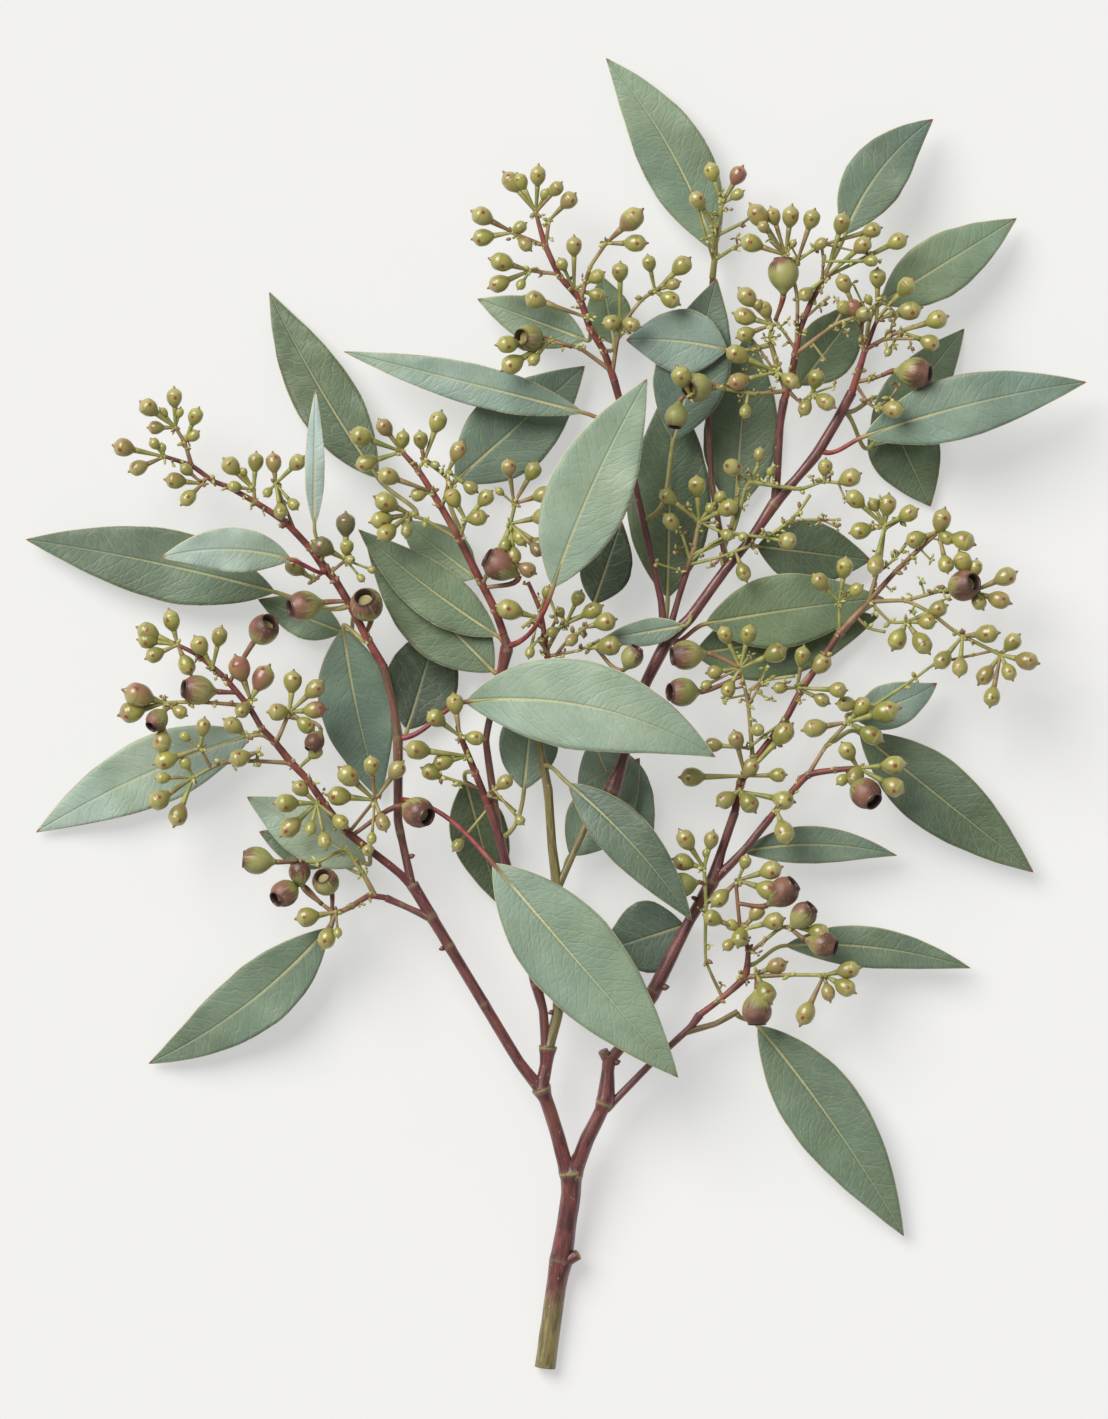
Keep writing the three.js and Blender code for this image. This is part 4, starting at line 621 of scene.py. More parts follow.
# Leaves: a blade is (joint, base, tip, width in px, bow in px, heights at base, middle and tip).
# The joint is where the petiole leaves its twig, and the bow bends the midrib to the left of its way.
LEAVES = {
    "leaf_01": [((713, 272), (715, 250), (606, 56), 71, -11, (9, 9, 6))],
    "leaf_02": [((820, 286), (845, 235), (934, 118), 60, 11, (21, 18, 12))],
    "leaf_03": [((868, 343), (880, 304), (1018, 217), 62, 0, (19, 15, 8))],
    "leaf_04": [((820, 450), (863, 437), (1087, 382), 64, 6, (23, 26, 20))],
    "leaf_05": [
        ((842, 410), (872, 445), (966, 327), 58, 0, (11, 8, 0)),
        ((842, 410), (884, 402), (932, 506), 72, 0, (7, 4, 3)),
    ],
    "leaf_06": [
        ((672, 640), (705, 624), (885, 598), 74, 2, (19, 15, 11)),
        ((672, 640), (694, 654), (880, 616), 78, -3, (12, 8, 5)),
    ],
    "leaf_07": [((752, 540), (757, 546), (872, 560), 66, 0, (15, 11, 8))],
    "leaf_08": [((848, 722), (850, 714), (938, 683), 46, -6, (20, 16, 10))],
    "leaf_09": [((832, 742), (860, 733), (1035, 873), 72, 0, (14, 11, 7))],
    "leaf_10": [((732, 862), (742, 852), (898, 856), 38, 9, (17, 14, 10))],
    "leaf_11": [((748, 966), (785, 946), (972, 969), 42, 9, (15, 13, 8))],
    "leaf_12": [((736, 1012), (758, 1026), (905, 1238), 78, 6, (9, 9, 5))],
    "leaf_13": [((398, 738), (465, 702), (715, 757), 90, 22, (27, 44, 42))],
    "leaf_14": [((398, 800), (493, 863), (678, 1077), 94, 0, (32, 38, 32))],
    "leaf_15": [((508, 646), (553, 588), (647, 380), 84, 6, (38, 46, 42))],
    "leaf_16": [
        ((506, 644), (498, 636), (358, 529), 54, 4, (19, 18, 18)),
        ((506, 644), (494, 672), (366, 543), 80, 0, (16, 14, 14)),
    ],
    "leaf_17": [((327, 571), (292, 560), (161, 558), 45, -9, (35, 38, 32))],
    "leaf_18": [((350, 605), (275, 592), (24, 539), 72, -4, (14, 10, 6))],
    "leaf_19": [((416, 517), (378, 478), (268, 290), 64, 5, (14, 9, 0))],
    "leaf_20": [((320, 561), (315, 528), (316, 390), 20, 0, (34, 38, 34))],
    "leaf_21": [((624, 424), (585, 413), (343, 351), 42, 0, (20, 20, 14))],
    "leaf_22": [((461, 541), (455, 481), (585, 365), 85, 0, (10, 9, 8))],
    "leaf_23": [((592, 332), (586, 340), (477, 298), 48, 0, (18, 14, 9))],
    "leaf_24": [((604, 352), (614, 344), (602, 275), 46, 0, (15, 11, 8))],
    "leaf_25": [((771, 345), (727, 350), (626, 340), 66, -4, (21, 21, 18))],
    "leaf_26": [((643, 520), (674, 440), (717, 278), 75, 0, (16, 18, 17))],
    "leaf_27": [((668, 634), (668, 598), (672, 380), 84, 0, (9, 8, 8))],
    "leaf_28": [((727, 568), (735, 510), (750, 330), 75, 0, (6, 4, 4))],
    "leaf_29": [((792, 372), (800, 385), (865, 300), 60, 0, (16, 12, 9))],
    "leaf_30": [((368, 641), (343, 628), (380, 800), 74, -4, (16, 9, 5))],
    "leaf_31": [((398, 738), (407, 730), (440, 618), 74, 0, (9, 5, 4))],
    "leaf_32": [((500, 838), (524, 790), (535, 680), 60, 0, (15, 12, 9))],
    "leaf_33": [((475, 772), (465, 780), (498, 905), 58, 0, (12, 6, 4))],
    "leaf_34": [((565, 871), (570, 856), (640, 758), 62, 0, (12, 10, 8))],
    "leaf_35": [((628, 745), (592, 738), (648, 868), 72, 0, (8, 5, 4))],
    "leaf_36": [((542, 766), (568, 783), (692, 921), 52, 7, (28, 34, 28))],
    "leaf_37": [((690, 920), (685, 926), (602, 952), 74, 0, (10, 8, 5))],
    "leaf_38": [((334, 913), (328, 928), (147, 1065), 66, 12, (15, 12, 3))],
    "leaf_39": [((262, 729), (252, 735), (34, 833), 70, -8, (13, 9, 3))],
    "leaf_40": [((372, 851), (366, 864), (246, 797), 58, 0, (15, 12, 9))],
    "leaf_41": [((362, 873), (335, 862), (258, 832), 40, 0, (8, 6, 5))],
    "leaf_42": [((356, 616), (342, 632), (257, 599), 42, 0, (8, 6, 4))],
    "leaf_43": [((692, 617), (684, 626), (600, 640), 28, 0, (25, 26, 25))],
    "leaf_44": [((572, 620), (594, 604), (622, 520), 52, 0, (13, 9, 7))],
    "leaf_45": [((482, 586), (476, 578), (400, 520), 52, 0, (13, 11, 10))],
}

# How much bluer than most each leaf is, and the lightness of each of its blades
LEAF_TONES = {
    "leaf_01": (-0.01, 0.26), "leaf_02": (0.13, 0.2), "leaf_03": (-0.08, 0.27), "leaf_04": (0.11, 0.27),
    "leaf_05": (-0.05, 0.2, 0.16), "leaf_06": (-0.16, 0.21, 0.18), "leaf_07": (-0.07, 0.13),
    "leaf_08": (0.25, 0.28), "leaf_09": (-0.02, 0.15), "leaf_10": (0.14, 0.19), "leaf_11": (0.04, 0.18),
    "leaf_12": (0.05, 0.19), "leaf_13": (0.05, 0.36), "leaf_14": (0.04, 0.28), "leaf_15": (0.07, 0.36),
    "leaf_16": (-0.1, 0.21, 0.19), "leaf_17": (0.11, 0.37), "leaf_18": (0.03, 0.18),
    "leaf_19": (-0.15, 0.14), "leaf_20": (0.2, 0.46), "leaf_21": (0.15, 0.32), "leaf_22": (0.12, 0.22),
    "leaf_23": (-0.07, 0.26), "leaf_24": (-0.26, 0.22), "leaf_25": (0.23, 0.27), "leaf_26": (0.17, 0.15),
    "leaf_27": (-0.1, 0.14), "leaf_28": (-0.08, 0.18), "leaf_29": (-0.17, 0.18), "leaf_30": (0.12, 0.23),
    "leaf_31": (0.04, 0.07), "leaf_32": (0.07, 0.19), "leaf_33": (-0.17, 0.11), "leaf_34": (0.08, 0.21),
    "leaf_35": (0.12, 0.3), "leaf_36": (0.13, 0.14), "leaf_37": (0.18, 0.12), "leaf_38": (0.03, 0.21),
    "leaf_39": (0.1, 0.4), "leaf_40": (-0.05, 0.43), "leaf_41": (-0.04, 0.24), "leaf_42": (-0.04, 0.25),
    "leaf_43": (0.15, 0.27), "leaf_44": (0.04, 0.06), "leaf_45": (-0.07, 0.34),
}

# The fold of a leaf to its midrib, the wave of its rim in mm and the redness of its petiole:
# the usual ones, and those of the leaves that differ
USUAL_FORM = (0.09, 0.8, 0.25)
LEAF_FORMS = {
    "leaf_04": (0.07, 1.0, 0.7), "leaf_06": (0.09, 0.8, 0.6), "leaf_10": (0.09, 0.7, 0.25),
    "leaf_11": (0.09, 0.7, 0.25), "leaf_13": (0.07, 0.8, 0.8), "leaf_14": (0.07, 0.8, 0.85),
    "leaf_15": (0.07, 0.8, 0.7), "leaf_16": (0.09, 0.8, 0.6), "leaf_17": (0.07, 1.3, 1.0),
    "leaf_18": (0.09, 0.8, 0.3), "leaf_20": (0.07, 0.5, 0.25), "leaf_21": (0.09, 0.9, 0.45),
    "leaf_25": (0.07, 0.8, 0.25), "leaf_36": (0.07, 0.8, 0.25), "leaf_39": (0.09, 1.0, 0.25),
    "leaf_43": (0.07, 0.4, 0.25),
}


# Places, paths and skins

UP = np.array([0.0, 0.0, 1.0])
ALONG = np.array([0.0, 1.0, 0.0])


def mm(px):
    return px * MM_PER_PX


def placed(px, py, z):
    return np.array([mm(px - MIDDLE_PX), mm(MIDDLE_PY - py), z])


def unit(v):
    return v / max(np.linalg.norm(v), 1e-9)


def draw_at(px, py, low, high, salt=0):
    """A draw between two values that is seeded by a place in plan."""
    seed = ((px * 73856093) ^ (py * 19349663) ^ (salt * 83492791)) & 0xFFFFFFFF
    return low + (high - low) * (seed % 1000) / 1000


def frame_of(tangent):
    reference = UP if abs(tangent[2]) < 0.95 else ALONG
    across = unit(np.cross(tangent, reference))
    return across, unit(np.cross(across, tangent))


def turns(sides):
    """The angles of a ring's points, each with its share of the way round."""
    return [(LOOP * k / sides, k / sides) for k in range(sides)]


def sideways(across, over, turn):
    return over * math.cos(turn) + across * math.sin(turn)


def bezier(points, t):
    points = list(points)
    while len(points) > 1:
        points = [a + (b - a) * t for a, b in zip(points, points[1:])]
    return points[0]


def smooth_path(places, radii, step, ease=0.6):
    """A finer path through the given places, with bends rounded by ease, from 0 to 1."""
    path, sizes = [], []
    for i in range(len(places) - 1):
        before = places[max(i - 1, 0)]
        start, end = places[i], places[i + 1]
        after = places[min(i + 2, len(places) - 1)]
        reach = np.linalg.norm(end - start)
        count = max(int(math.ceil(reach / step)), 2)
        out, into = (end - before) / 2, (after - start) / 2
        out, into = (unit(v) * min(np.linalg.norm(v), reach) * ease for v in (out, into))
        for k in range(count):
            t = k / count
            h = (2 * t**3 - 3 * t**2 + 1, t**3 - 2 * t**2 + t, -2 * t**3 + 3 * t**2, t**3 - t**2)
            path.append(h[0] * start + h[1] * out + h[2] * end + h[3] * into)
            sizes.append(radii[i] + (radii[i + 1] - radii[i]) * t * t * (3 - 2 * t))
    path.append(places[-1])
    sizes.append(radii[-1])
    return path, sizes


def frames_along(path):
    """Each place of a path with the way ahead and two directions square to it, without twist."""
    across = None
    for i, centre in enumerate(path):
        way = unit(path[min(i + 1, len(path) - 1)] - path[max(i - 1, 0)])
        if across is None:
            across, _ = frame_of(way)
        across = unit(across - way * np.dot(across, way))
        yield centre, way, across, np.cross(across, way)


def kept_inside(points):
    """Points in metres, with the highest part pressed together to stay inside the box round the solids."""
    places = np.array(points) * 0.001
    top = CAD_BOX[1][2]
    knee = top - TOP_EASE
    highest = places[:, 2].max()
    if highest > top:
        above = places[:, 2] > knee
        places[above, 2] = knee + (places[above, 2] - knee) * (top - knee) / (highest - knee)
    return np.clip(places, CAD_BOX[0], CAD_BOX[1])


class Skin:
    """A mesh in the making: points in mm with six marks each, and faces with a material slot.

    The last mark is a number that sets a piece apart. A blade's says how bluish its leaf is.
    """

    MARKS = ("along", "across", "edge", "length", "tone", "seed")

    def __init__(self):
        self.points, self.marks, self.faces, self.slots = [], [], [], []

    def add(self, point, marks):
        self.points.append(point)
        self.marks.append(marks)
        return len(self.points) - 1

    def face(self, corners, slot):
        self.faces.append(corners)
        self.slots.append(slot)

    def loft(self, rings, slot, close_start=True):
        """Quads between rings of point numbers, and fans over the two ends."""
        for low, high in zip(rings, rings[1:]):
            count = len(low)
            for k in range(count):
                n = (k + 1) % count
                self.face((low[k], low[n], high[n], high[k]), slot)
        if close_start:
            self.face(tuple(reversed(rings[0])), slot)
        self.face(tuple(rings[-1]), slot)

    def tube(self, path, radii, sides, slot, mark_at):
        """A round tube. mark_at(i, share round) gives the marks of a point on ring i."""
        rings = []
        for i, (centre, _, across, over) in enumerate(frames_along(path)):
            ring = []
            for turn, share in turns(sides):
                place = centre + radii[i] * sideways(across, over, turn)
                ring.append(self.add(place, mark_at(i, share)))
            rings.append(ring)
        self.loft(rings, slot)

    def dress(self, node, materials):
        """Makes the fine piece that takes the place of a node of the solids."""
        name = "fine_" + node
        mesh = bpy.data.meshes.new(name)
        mesh.from_pydata(kept_inside(self.points).tolist(), [], self.faces)
        mesh.polygons.foreach_set("material_index", self.slots)
        mesh.polygons.foreach_set("use_smooth", [True] * len(self.faces))
        marks = np.array(self.marks, dtype=np.float32)
        for column, mark in enumerate(self.MARKS):
            layer = mesh.attributes.new("m_" + mark, "FLOAT", "POINT")
            layer.data.foreach_set("value", np.ascontiguousarray(marks[:, column]))
        for material in materials:
            mesh.materials.append(material)
        mesh.validate()
        mesh.update()
        piece = bpy.data.objects.new(name, mesh)
        bpy.context.scene.collection.objects.link(piece)
        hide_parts(node)
        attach(piece, "root")


def run_of(points):
    """A run of wood: places along it, with a radius at each."""
    return [placed(x, y, z) for x, y, z, _ in points], [mm(p[3]) / 2 for p in points]


def nearest_on(runs, px, py):
    """The place on some runs that lies nearest to a place in plan, with its radius and tangent."""
    aim = placed(px, py, 0)
    nearest, best = None, math.inf
    for places, radii in runs:
        for i in range(len(places) - 1):
            start, span = places[i], places[i + 1] - places[i]
            flat = span[:2]
            share = np.dot(aim[:2] - start[:2], flat) / max(np.dot(flat, flat), 1e-9)
            share = float(np.clip(share, 0, 1))
            point = start + span * share
            far = float(np.hypot(*(point[:2] - aim[:2])))
            if far < best - 1e-6:
                nearest, best = (point, radii[i] + (radii[i + 1] - radii[i]) * share, unit(span)), far
    return nearest


def spray_runs(spray):
    """The runs of a spray: the first starts inside its branch end, each other on those before it."""
    places, radii = run_of(spray["axes"][0])
    places[0] = places[0] - unit(places[1] - places[0]) * BRANCH_OVERLAP
    runs = [(places, radii)]
    for points in spray["axes"][1:]:
        places, radii = run_of(points)
        places[0] = nearest_on(runs, points[0][0], points[0][1])[0]
        runs.append((places, radii))
    return runs


STEM_RUNS = [run_of(points) for points in BRANCHES.values()]
CARRIERS = STEM_RUNS + [run for spray in SPRAYS.values() for run in spray_runs(spray)]


# Leaves


def half_width(width_px, share):
    power = math.log(0.5) / math.log(BLADE_WIDEST)
    fullness = 1.06 if share < BLADE_WIDEST else 0.92
    return mm(width_px) / 2 * max(math.sin(math.pi * share**power), 0.0) ** fullness


def petiole_start(blade):
    """Where a petiole starts, square off the side of its twig, and the way it leaves."""
    joint, base, rise = blade[0], blade[1], blade[5]
    point, radius, tangent = nearest_on(CARRIERS, *joint)
    towards = placed(*base, rise[0]) - point
    outwards = unit(towards - tangent * np.dot(towards, tangent))
    return point + outwards * (radius * 0.4), outwards


class Blade:
    """One leaf blade: its midrib curve, its petiole curve and its surface."""

    def __init__(self, blade, seat, tone, cool, form):
        _, base_px, tip_px, self.width, bow, rise = blade
        base, tip = placed(*base_px, rise[0]), placed(*tip_px, rise[2])
        way = unit((tip - base) * np.array([1, 1, 0]))
        left = np.array([-way[1], way[0], 0])
        middle = (base + tip) / 2
        middle[2] = rise[1]
        middle += left * mm(bow)
        bend = middle * 2 - (base + tip) / 2
        self.rib = [base, bend, tip]
        self.length = float(np.linalg.norm(tip - base))
        start, outwards = seat
        reach = float(np.linalg.norm(base - start))
        off = base - unit(bend - base) * reach * 0.35
        self.stalk = [start, start + outwards * reach * 0.35, off, base]
        self.tone, self.cool = tone, cool
        self.fold, self.wave, self.redness = form
        self.seed = draw_at(*tip_px, 0, 1, 5)

    def edge_wave(self, t, side):
        """How far the rim stands over the midrib's plane, in mm."""
        swing = math.sin(LOOP * (t * BLADE_WAVES + self.seed * 3 + (0.35 if side > 0 else 0)))
        ripple = math.sin(LOOP * (t * BLADE_RIPPLES + self.seed * 7 + (0.5 if side > 0 else 0)))
        return self.wave * (swing + RIPPLE_SHARE * ripple) * math.sin(math.pi * t)

    def station(self, t):
        centre = bezier(self.rib, t)
        ahead, behind = bezier(self.rib, min(t + 0.01, 1)), bezier(self.rib, max(t - 0.01, 0))
        across, over = frame_of(unit(ahead - behind))
        return centre, across, over

    def shares(self):
        """The shares of the length at which the blade has its rows, closer at both ends."""
        steps = max(int(BLADE_STEPS * min(self.length / 75, 1.25)), 20)
        eased = [0.5 - 0.5 * math.cos(math.pi * i / steps) for i in range(steps + 1)]
        return [0.5 * s + 0.5 * i / steps for i, s in enumerate(eased)]

    def add_row(self, skin, t):
        """The points of the upper and the under side across the blade at one share of its length."""
        centre, across, over = self.station(t)
        half = half_width(self.width, t)
        wobble = 1 + WOBBLE * noise(Vector((t * 9, self.seed * 40, 0)))
        top, under = [], []
        for k in range(BLADE_ACROSS + 1):
            s = 2 * k / BLADE_ACROSS - 1
            side = 1 if s >= 0 else -1
            swell = wobble + SIDE_WOBBLE * noise(Vector((t * 11, self.seed * 31, side * 5.0)))
            far = half * s * swell
            lift = self.fold * abs(far) + self.edge_wave(t, side) * s * s
            lift -= BLADE_CUPPING * far * far / max(half, 1)
            place = centre + across * far + over * lift
            edge = half * swell - abs(far)
            thick = RIM_THICK / 2 + (BLADE_THICK / 2 - RIM_THICK / 2) * min(edge / 1.2, 1)
            marks = (t * self.length, far, edge, self.length, self.tone, self.cool)
            top.append(skin.add(place + over * thick, marks))
            under.append(skin.add(place - over * thick, marks))
        return top, under

    def add_blade(self, skin, slot):
        rows = [self.add_row(skin, t) for t in self.shares()]
        for (top, under), (next_top, next_under) in zip(rows, rows[1:]):
            for k in range(BLADE_ACROSS):
                skin.face((top[k], top[k + 1], next_top[k + 1], next_top[k]), slot)
                skin.face((next_under[k], next_under[k + 1], under[k + 1], under[k]), slot)
            for k, turned in ((0, False), (BLADE_ACROSS, True)):
                rim = (top[k], next_top[k], next_under[k], under[k])
                skin.face(tuple(reversed(rim)) if turned else rim, slot)

    def add_petiole(self, skin, slot):
        """The stalk of the blade, which runs on into its midrib and thins out there."""
        path = [bezier(self.stalk, i / PETIOLE_STEPS) for i in range(PETIOLE_STEPS + 1)]
        path += [self.station(t)[0] - UP * RIB_SUNK for t in RIB_SHARES]
        thick = PETIOLE_WIDTH / 2 * (0.75 + 0.35 * min(self.width / 80, 1))
        radii = [thick * (1.25 - 0.3 * min(i / 4, 1)) for i in range(PETIOLE_STEPS + 1)]
        radii += [thick * r for r in RIB_WIDTHS]

        def mark_at(i, share):
            fade = self.redness * (1 - max(i - 11, 0) / 9)
            return (i * 1.2, share, 0, 30, fade, self.seed)

        skin.tube(path, radii, PETIOLE_SIDES, slot, mark_at)


def make_leaf(name, blades, materials):
    skin = Skin()
    seat = petiole_start(blades[0])
    cool, *tones = LEAF_TONES[name]
    for blade, tone in zip(blades, tones):
        made = Blade(blade, seat, tone, cool, LEAF_FORMS.get(name, USUAL_FORM))
        made.add_blade(skin, 0)
        made.add_petiole(skin, 1)
    skin.dress(name, materials)


# Buds, nuts and twigs

BUD, NUT, TWIG = 0, 1, 2
# Round skins as (share of the length from the middle, share of the radius)
BUD_PROFILE = (
    (-0.50, 0.34), (-0.42, 0.50), (-0.33, 0.69), (-0.22, 0.86), (-0.10, 0.97), (0.02, 1.0),
    (0.11, 0.985), (0.145, 0.955), (0.18, 0.97), (0.27, 0.88), (0.35, 0.70), (0.41, 0.48),
    (0.45, 0.30), (0.49, 0.19), (0.54, 0.13), (0.585, 0.08),
)
NUT_PROFILE = (
    (-0.68, 0.17), (-0.60, 0.24), (-0.52, 0.38), (-0.44, 0.56), (-0.35, 0.73), (-0.24, 0.88), (-0.10, 0.98),
    (0.03, 1.0), (0.16, 0.97), (0.27, 0.88), (0.35, 0.76), (0.40, 0.66), (0.435, 0.625), (0.465, 0.63),
    (0.475, 0.60), (0.465, 0.555), (0.42, 0.52), (0.34, 0.50), (0.24, 0.47), (0.21, 0.40), (0.22, 0.27),
    (0.21, 0.12),
)
NUT_INSIDE = 15
SCALE_PROFILE = ((0.0, 0.4), (0.2, 0.85), (0.5, 1.0), (0.75, 0.75), (0.93, 0.34), (1.0, 0.08))


def add_stalk(skin, start, end, way_out, ends, red, seed, sides=TWIG_SIDES):
    """A thin stalk that leaves start straight and meets end along way_out. ends are its radii there."""
    reach = float(np.linalg.norm(end - start))
    off = unit(end - start) * 0.5 + way_out * 0.5
    points = [start, start + unit(end - start) * reach * 0.35, end - unit(off) * reach * 0.35, end]
    shares = [i / STALK_STEPS for i in range(STALK_STEPS + 1)]
    path = [bezier(points, t) for t in shares]
    radii = [ends[0] + (ends[1] - ends[0]) * t + 0.22 * math.exp(-t * 9) for t in shares]
    skin.tube(path, radii, sides, TWIG, lambda i, share: (i * 1.1, share, 0, reach, red, seed))


def add_turned(skin, axis, profile, sides, slot, uneven, marks_at):
    """A skin turned round an axis: a middle, a way, a radius, a length and a stretch past the middle."""
    centre, way, radius, length, stretch = axis
    px, py, spread, amount = uneven
    across, over = frame_of(way)
    rings = []
    for i, (share, size) in enumerate(profile):
        middle = centre + way * length * share * (stretch if share > 0 else 1)
        ring = []
        for turn, _ in turns(sides):
            side = sideways(across, over, turn)
            spot = (px * 0.3 + math.cos(turn) * spread, py * 0.3 + math.sin(turn) * spread, share * 2)
            swell = 1 + amount * noise(Vector(spot))
            ring.append(skin.add(middle + side * radius * size * swell, marks_at(i, share, turn)))
        rings.append(ring)
    skin.loft(rings, slot)


def ripeness(px, py):
    """How blushed a bud is, from 0 to 1, and up to 2 for the dried ones."""
    for (x, y), value in RIPE_BUDS.items():
        if math.hypot(px - x, py - y) < 9:
            return value
    return draw_at(px, py, 0, 1, 6)


def bud_middle(head, px, py):
    """A bud's middle, over its place in plan and a little above its umbel."""
    flat = placed(px, py, head[2])
    reach = float(np.linalg.norm(flat - head))
    lift = min(reach * math.tan(draw_at(px, py, -0.1, 0.45)), 5)
    centre = flat + UP * lift
    return centre + UP * 2.5 if reach < 2.5 else centre


def add_bud(skin, head, bud):
    px, py, width_px = bud
    radius, length = mm(width_px) / 2, mm(width_px) * BUD_SLENDERNESS
    centre = bud_middle(head, px, py)
    way = unit(centre - head)
    seed = draw_at(px, py, 0, 1, 3)
    young = min(max((15 - width_px) / 5, 0), 1)
    ripe = ripeness(px, py)
    neck = centre + way * length * BUD_PROFILE[0][0]
    pedicel = PEDICEL_WIDTH / 2 * (0.85 if width_px < 14 else 1.0)
    add_stalk(skin, head, neck, way, (pedicel, radius * 0.34), 0.28 * draw_at(px, py, 0, 1, 4), seed)

    def marks_at(_, share, turn):
        return (share, math.atan2(math.sin(turn), math.cos(turn)), young, length, ripe, seed)

    axis = (centre, way, radius, length, 1 + 0.14 * draw_at(px, py, -1, 1, 8))
    add_turned(skin, axis, BUD_PROFILE, BUD_SIDES, BUD, (px, py, 1.0, 0.03), marks_at)


def add_nut(skin, runs, nut):
    px, py, width_px, degrees, root_px, root_py = nut[:6]
    lift = nut[6] if len(nut) > 6 else 3
    radius, length = mm(width_px) / 2, mm(width_px) * NUT_SLENDERNESS
    seat = nearest_on(runs, root_px, root_py)[0]
    angle = math.radians(degrees)
    way = unit(np.array([math.cos(angle), math.sin(angle), NUT_TILTS.get((px, py), 0.25)]))
    centre = placed(px, py, seat[2] + lift)
    seed = draw_at(px, py, 0, 1, 3)
    neck = centre + way * length * NUT_PROFILE[0][0]
    add_stalk(skin, seat, neck, way, (0.62, radius * 0.2), 0.55, seed, AXIS_SIDES)

    def marks_at(i, share, turn):
        inner = 1.0 if i >= NUT_INSIDE else 0.0
        return (share, turn, inner, length, NUT_BLUSH.get((px, py), 0.5), seed)

    axis = (centre, way, radius, length, 1)
    add_turned(skin, axis, NUT_PROFILE, NUT_SIDES, NUT, (px, py, 1.3, 0.035), marks_at)


def add_knob(skin, centre, radius, red, seed, squash=0.9):
    """A small round swelling of a twig."""
    rings = []
    for i in range(1, KNOB_RINGS + 1):
        tilt = math.pi * i / (KNOB_RINGS + 1)
        ring = []
        for turn, share in turns(KNOB_SIDES):
            across, out = math.cos(turn) * math.sin(tilt), math.sin(turn) * math.sin(tilt)
            side = np.array([across, out, -math.cos(tilt) * squash])
            ring.append(skin.add(centre + side * radius, (i, share, 0, 1, red, seed)))
        rings.append(ring)
    skin.loft(rings, TWIG)


def add_scale(skin, root, way, length, width, slot, red, seed):
    """A small pointed scale, flatter than it is wide."""
    across, over = frame_of(way)
    rings = []
    for share, size in SCALE_PROFILE:
        centre = root + way * length * share + over * width * 0.25 * math.sin(math.pi * share)
        ring = []
        for turn, round_share in turns(SCALE_SIDES):
            side = across * math.cos(turn) + over * math.sin(turn) * 0.5
            marks = (share, round_share, 0, 1, red, seed)
            ring.append(skin.add(centre + side * width / 2 * size, marks))
        rings.append(ring)
    skin.loft(rings, slot)


def add_bracts(skin, head, px, py, count, size=1.0):
    """The scales that fallen bracts and shed buds leave round an umbel or a joint."""
    for k in range(count):
        turn = draw_at(px, py, 0, LOOP, 20 + k)
        rise = draw_at(px, py, -0.3, 0.8, 60 + k)
        way = unit(np.array([math.cos(turn), math.sin(turn), rise]))
        length = draw_at(px, py, 1.2, 2.9, 30 + k) * size
        width = draw_at(px, py, 0.9, 1.8, 40 + k) * size
        kind = draw_at(px, py, 0, 1, 50 + k)
        red = STRAW if kind < 0.5 else (0.22 if kind < 0.8 else 0.5)
        add_scale(skin, head + way * 0.4, way, length, width, TWIG, red, draw_at(px, py, 0, 1, 70 + k))


def add_tuft(skin, root, tip, key, count):
    """A thin side stalk with a few scales at its end."""
    add_stalk(skin, root, tip, unit(tip - root), (0.36, 0.42), draw_at(key, count, -0.1, 0.5, 81), 0.5, 5)
    add_bracts(skin, tip, key, count, count, 0.72)


def add_clutter(skin, runs, salt):
    """Short side stalks along the twigs, where buds have dropped."""
    for n, (places, _) in enumerate(runs):
        for i in range(len(places) - 1):
            span = places[i + 1] - places[i]
            steps = int(np.linalg.norm(span) / STUB_SPACING)
            across, over = frame_of(unit(span))
            for k in range(steps):
                key = salt * 131 + n * 977 + i * 53 + k * 7
                if draw_at(key, k + 1, 0, 1, 90) > STUB_SHARE or (n == 0 and i == 0):
                    continue
                root = places[i] + span * ((k + draw_at(key, i + 1, 0.2, 0.8, 91)) / steps)
                turn = draw_at(key, n + 1, -0.5, math.pi + 0.5, 92)
                way = unit(across * math.cos(turn) + over * math.sin(turn) * 0.6 + unit(span) * 0.6)
                tip = root + way * draw_at(key, 3, 1.2, 2.8, 93)
                add_tuft(skin, root, tip, key % 997 + 3, 2)


def twig_redness(share, first, shift):
    """How red a twig is at a share of its length: a spray's axis most, and each more at its root."""
    return max((0.97 - 0.32 * share if first else 0.5 - 0.35 * share) + shift, 0.0)


def add_twigs(skin, runs, shift):
    for n, (places, radii) in enumerate(runs):
        first = n == 0
        path, sizes = smooth_path(places, radii[:-1] + [max(radii[-1], TWIG_END_RADIUS)], TWIG_STEP)
        count = len(path)
        seed = draw_at(n + 1, count, 0, 1)

        def mark_at(i, share):
            return (i * TWIG_STEP, share, 0, count, twig_redness(i / max(count - 1, 1), first, shift), seed)

        skin.tube(path, sizes, AXIS_SIDES if first else TWIG_SIDES, TWIG, mark_at)
        for k, (place, radius) in enumerate(list(zip(places, radii))[1:-1]):
            add_knob(skin, place, radius * 1.2 + 0.1, 0.35 if first else 0.1, seed, 0.8)
            add_bracts(skin, place, n * 37 + k * 11 + int(places[0][1]), k + 3, 2)


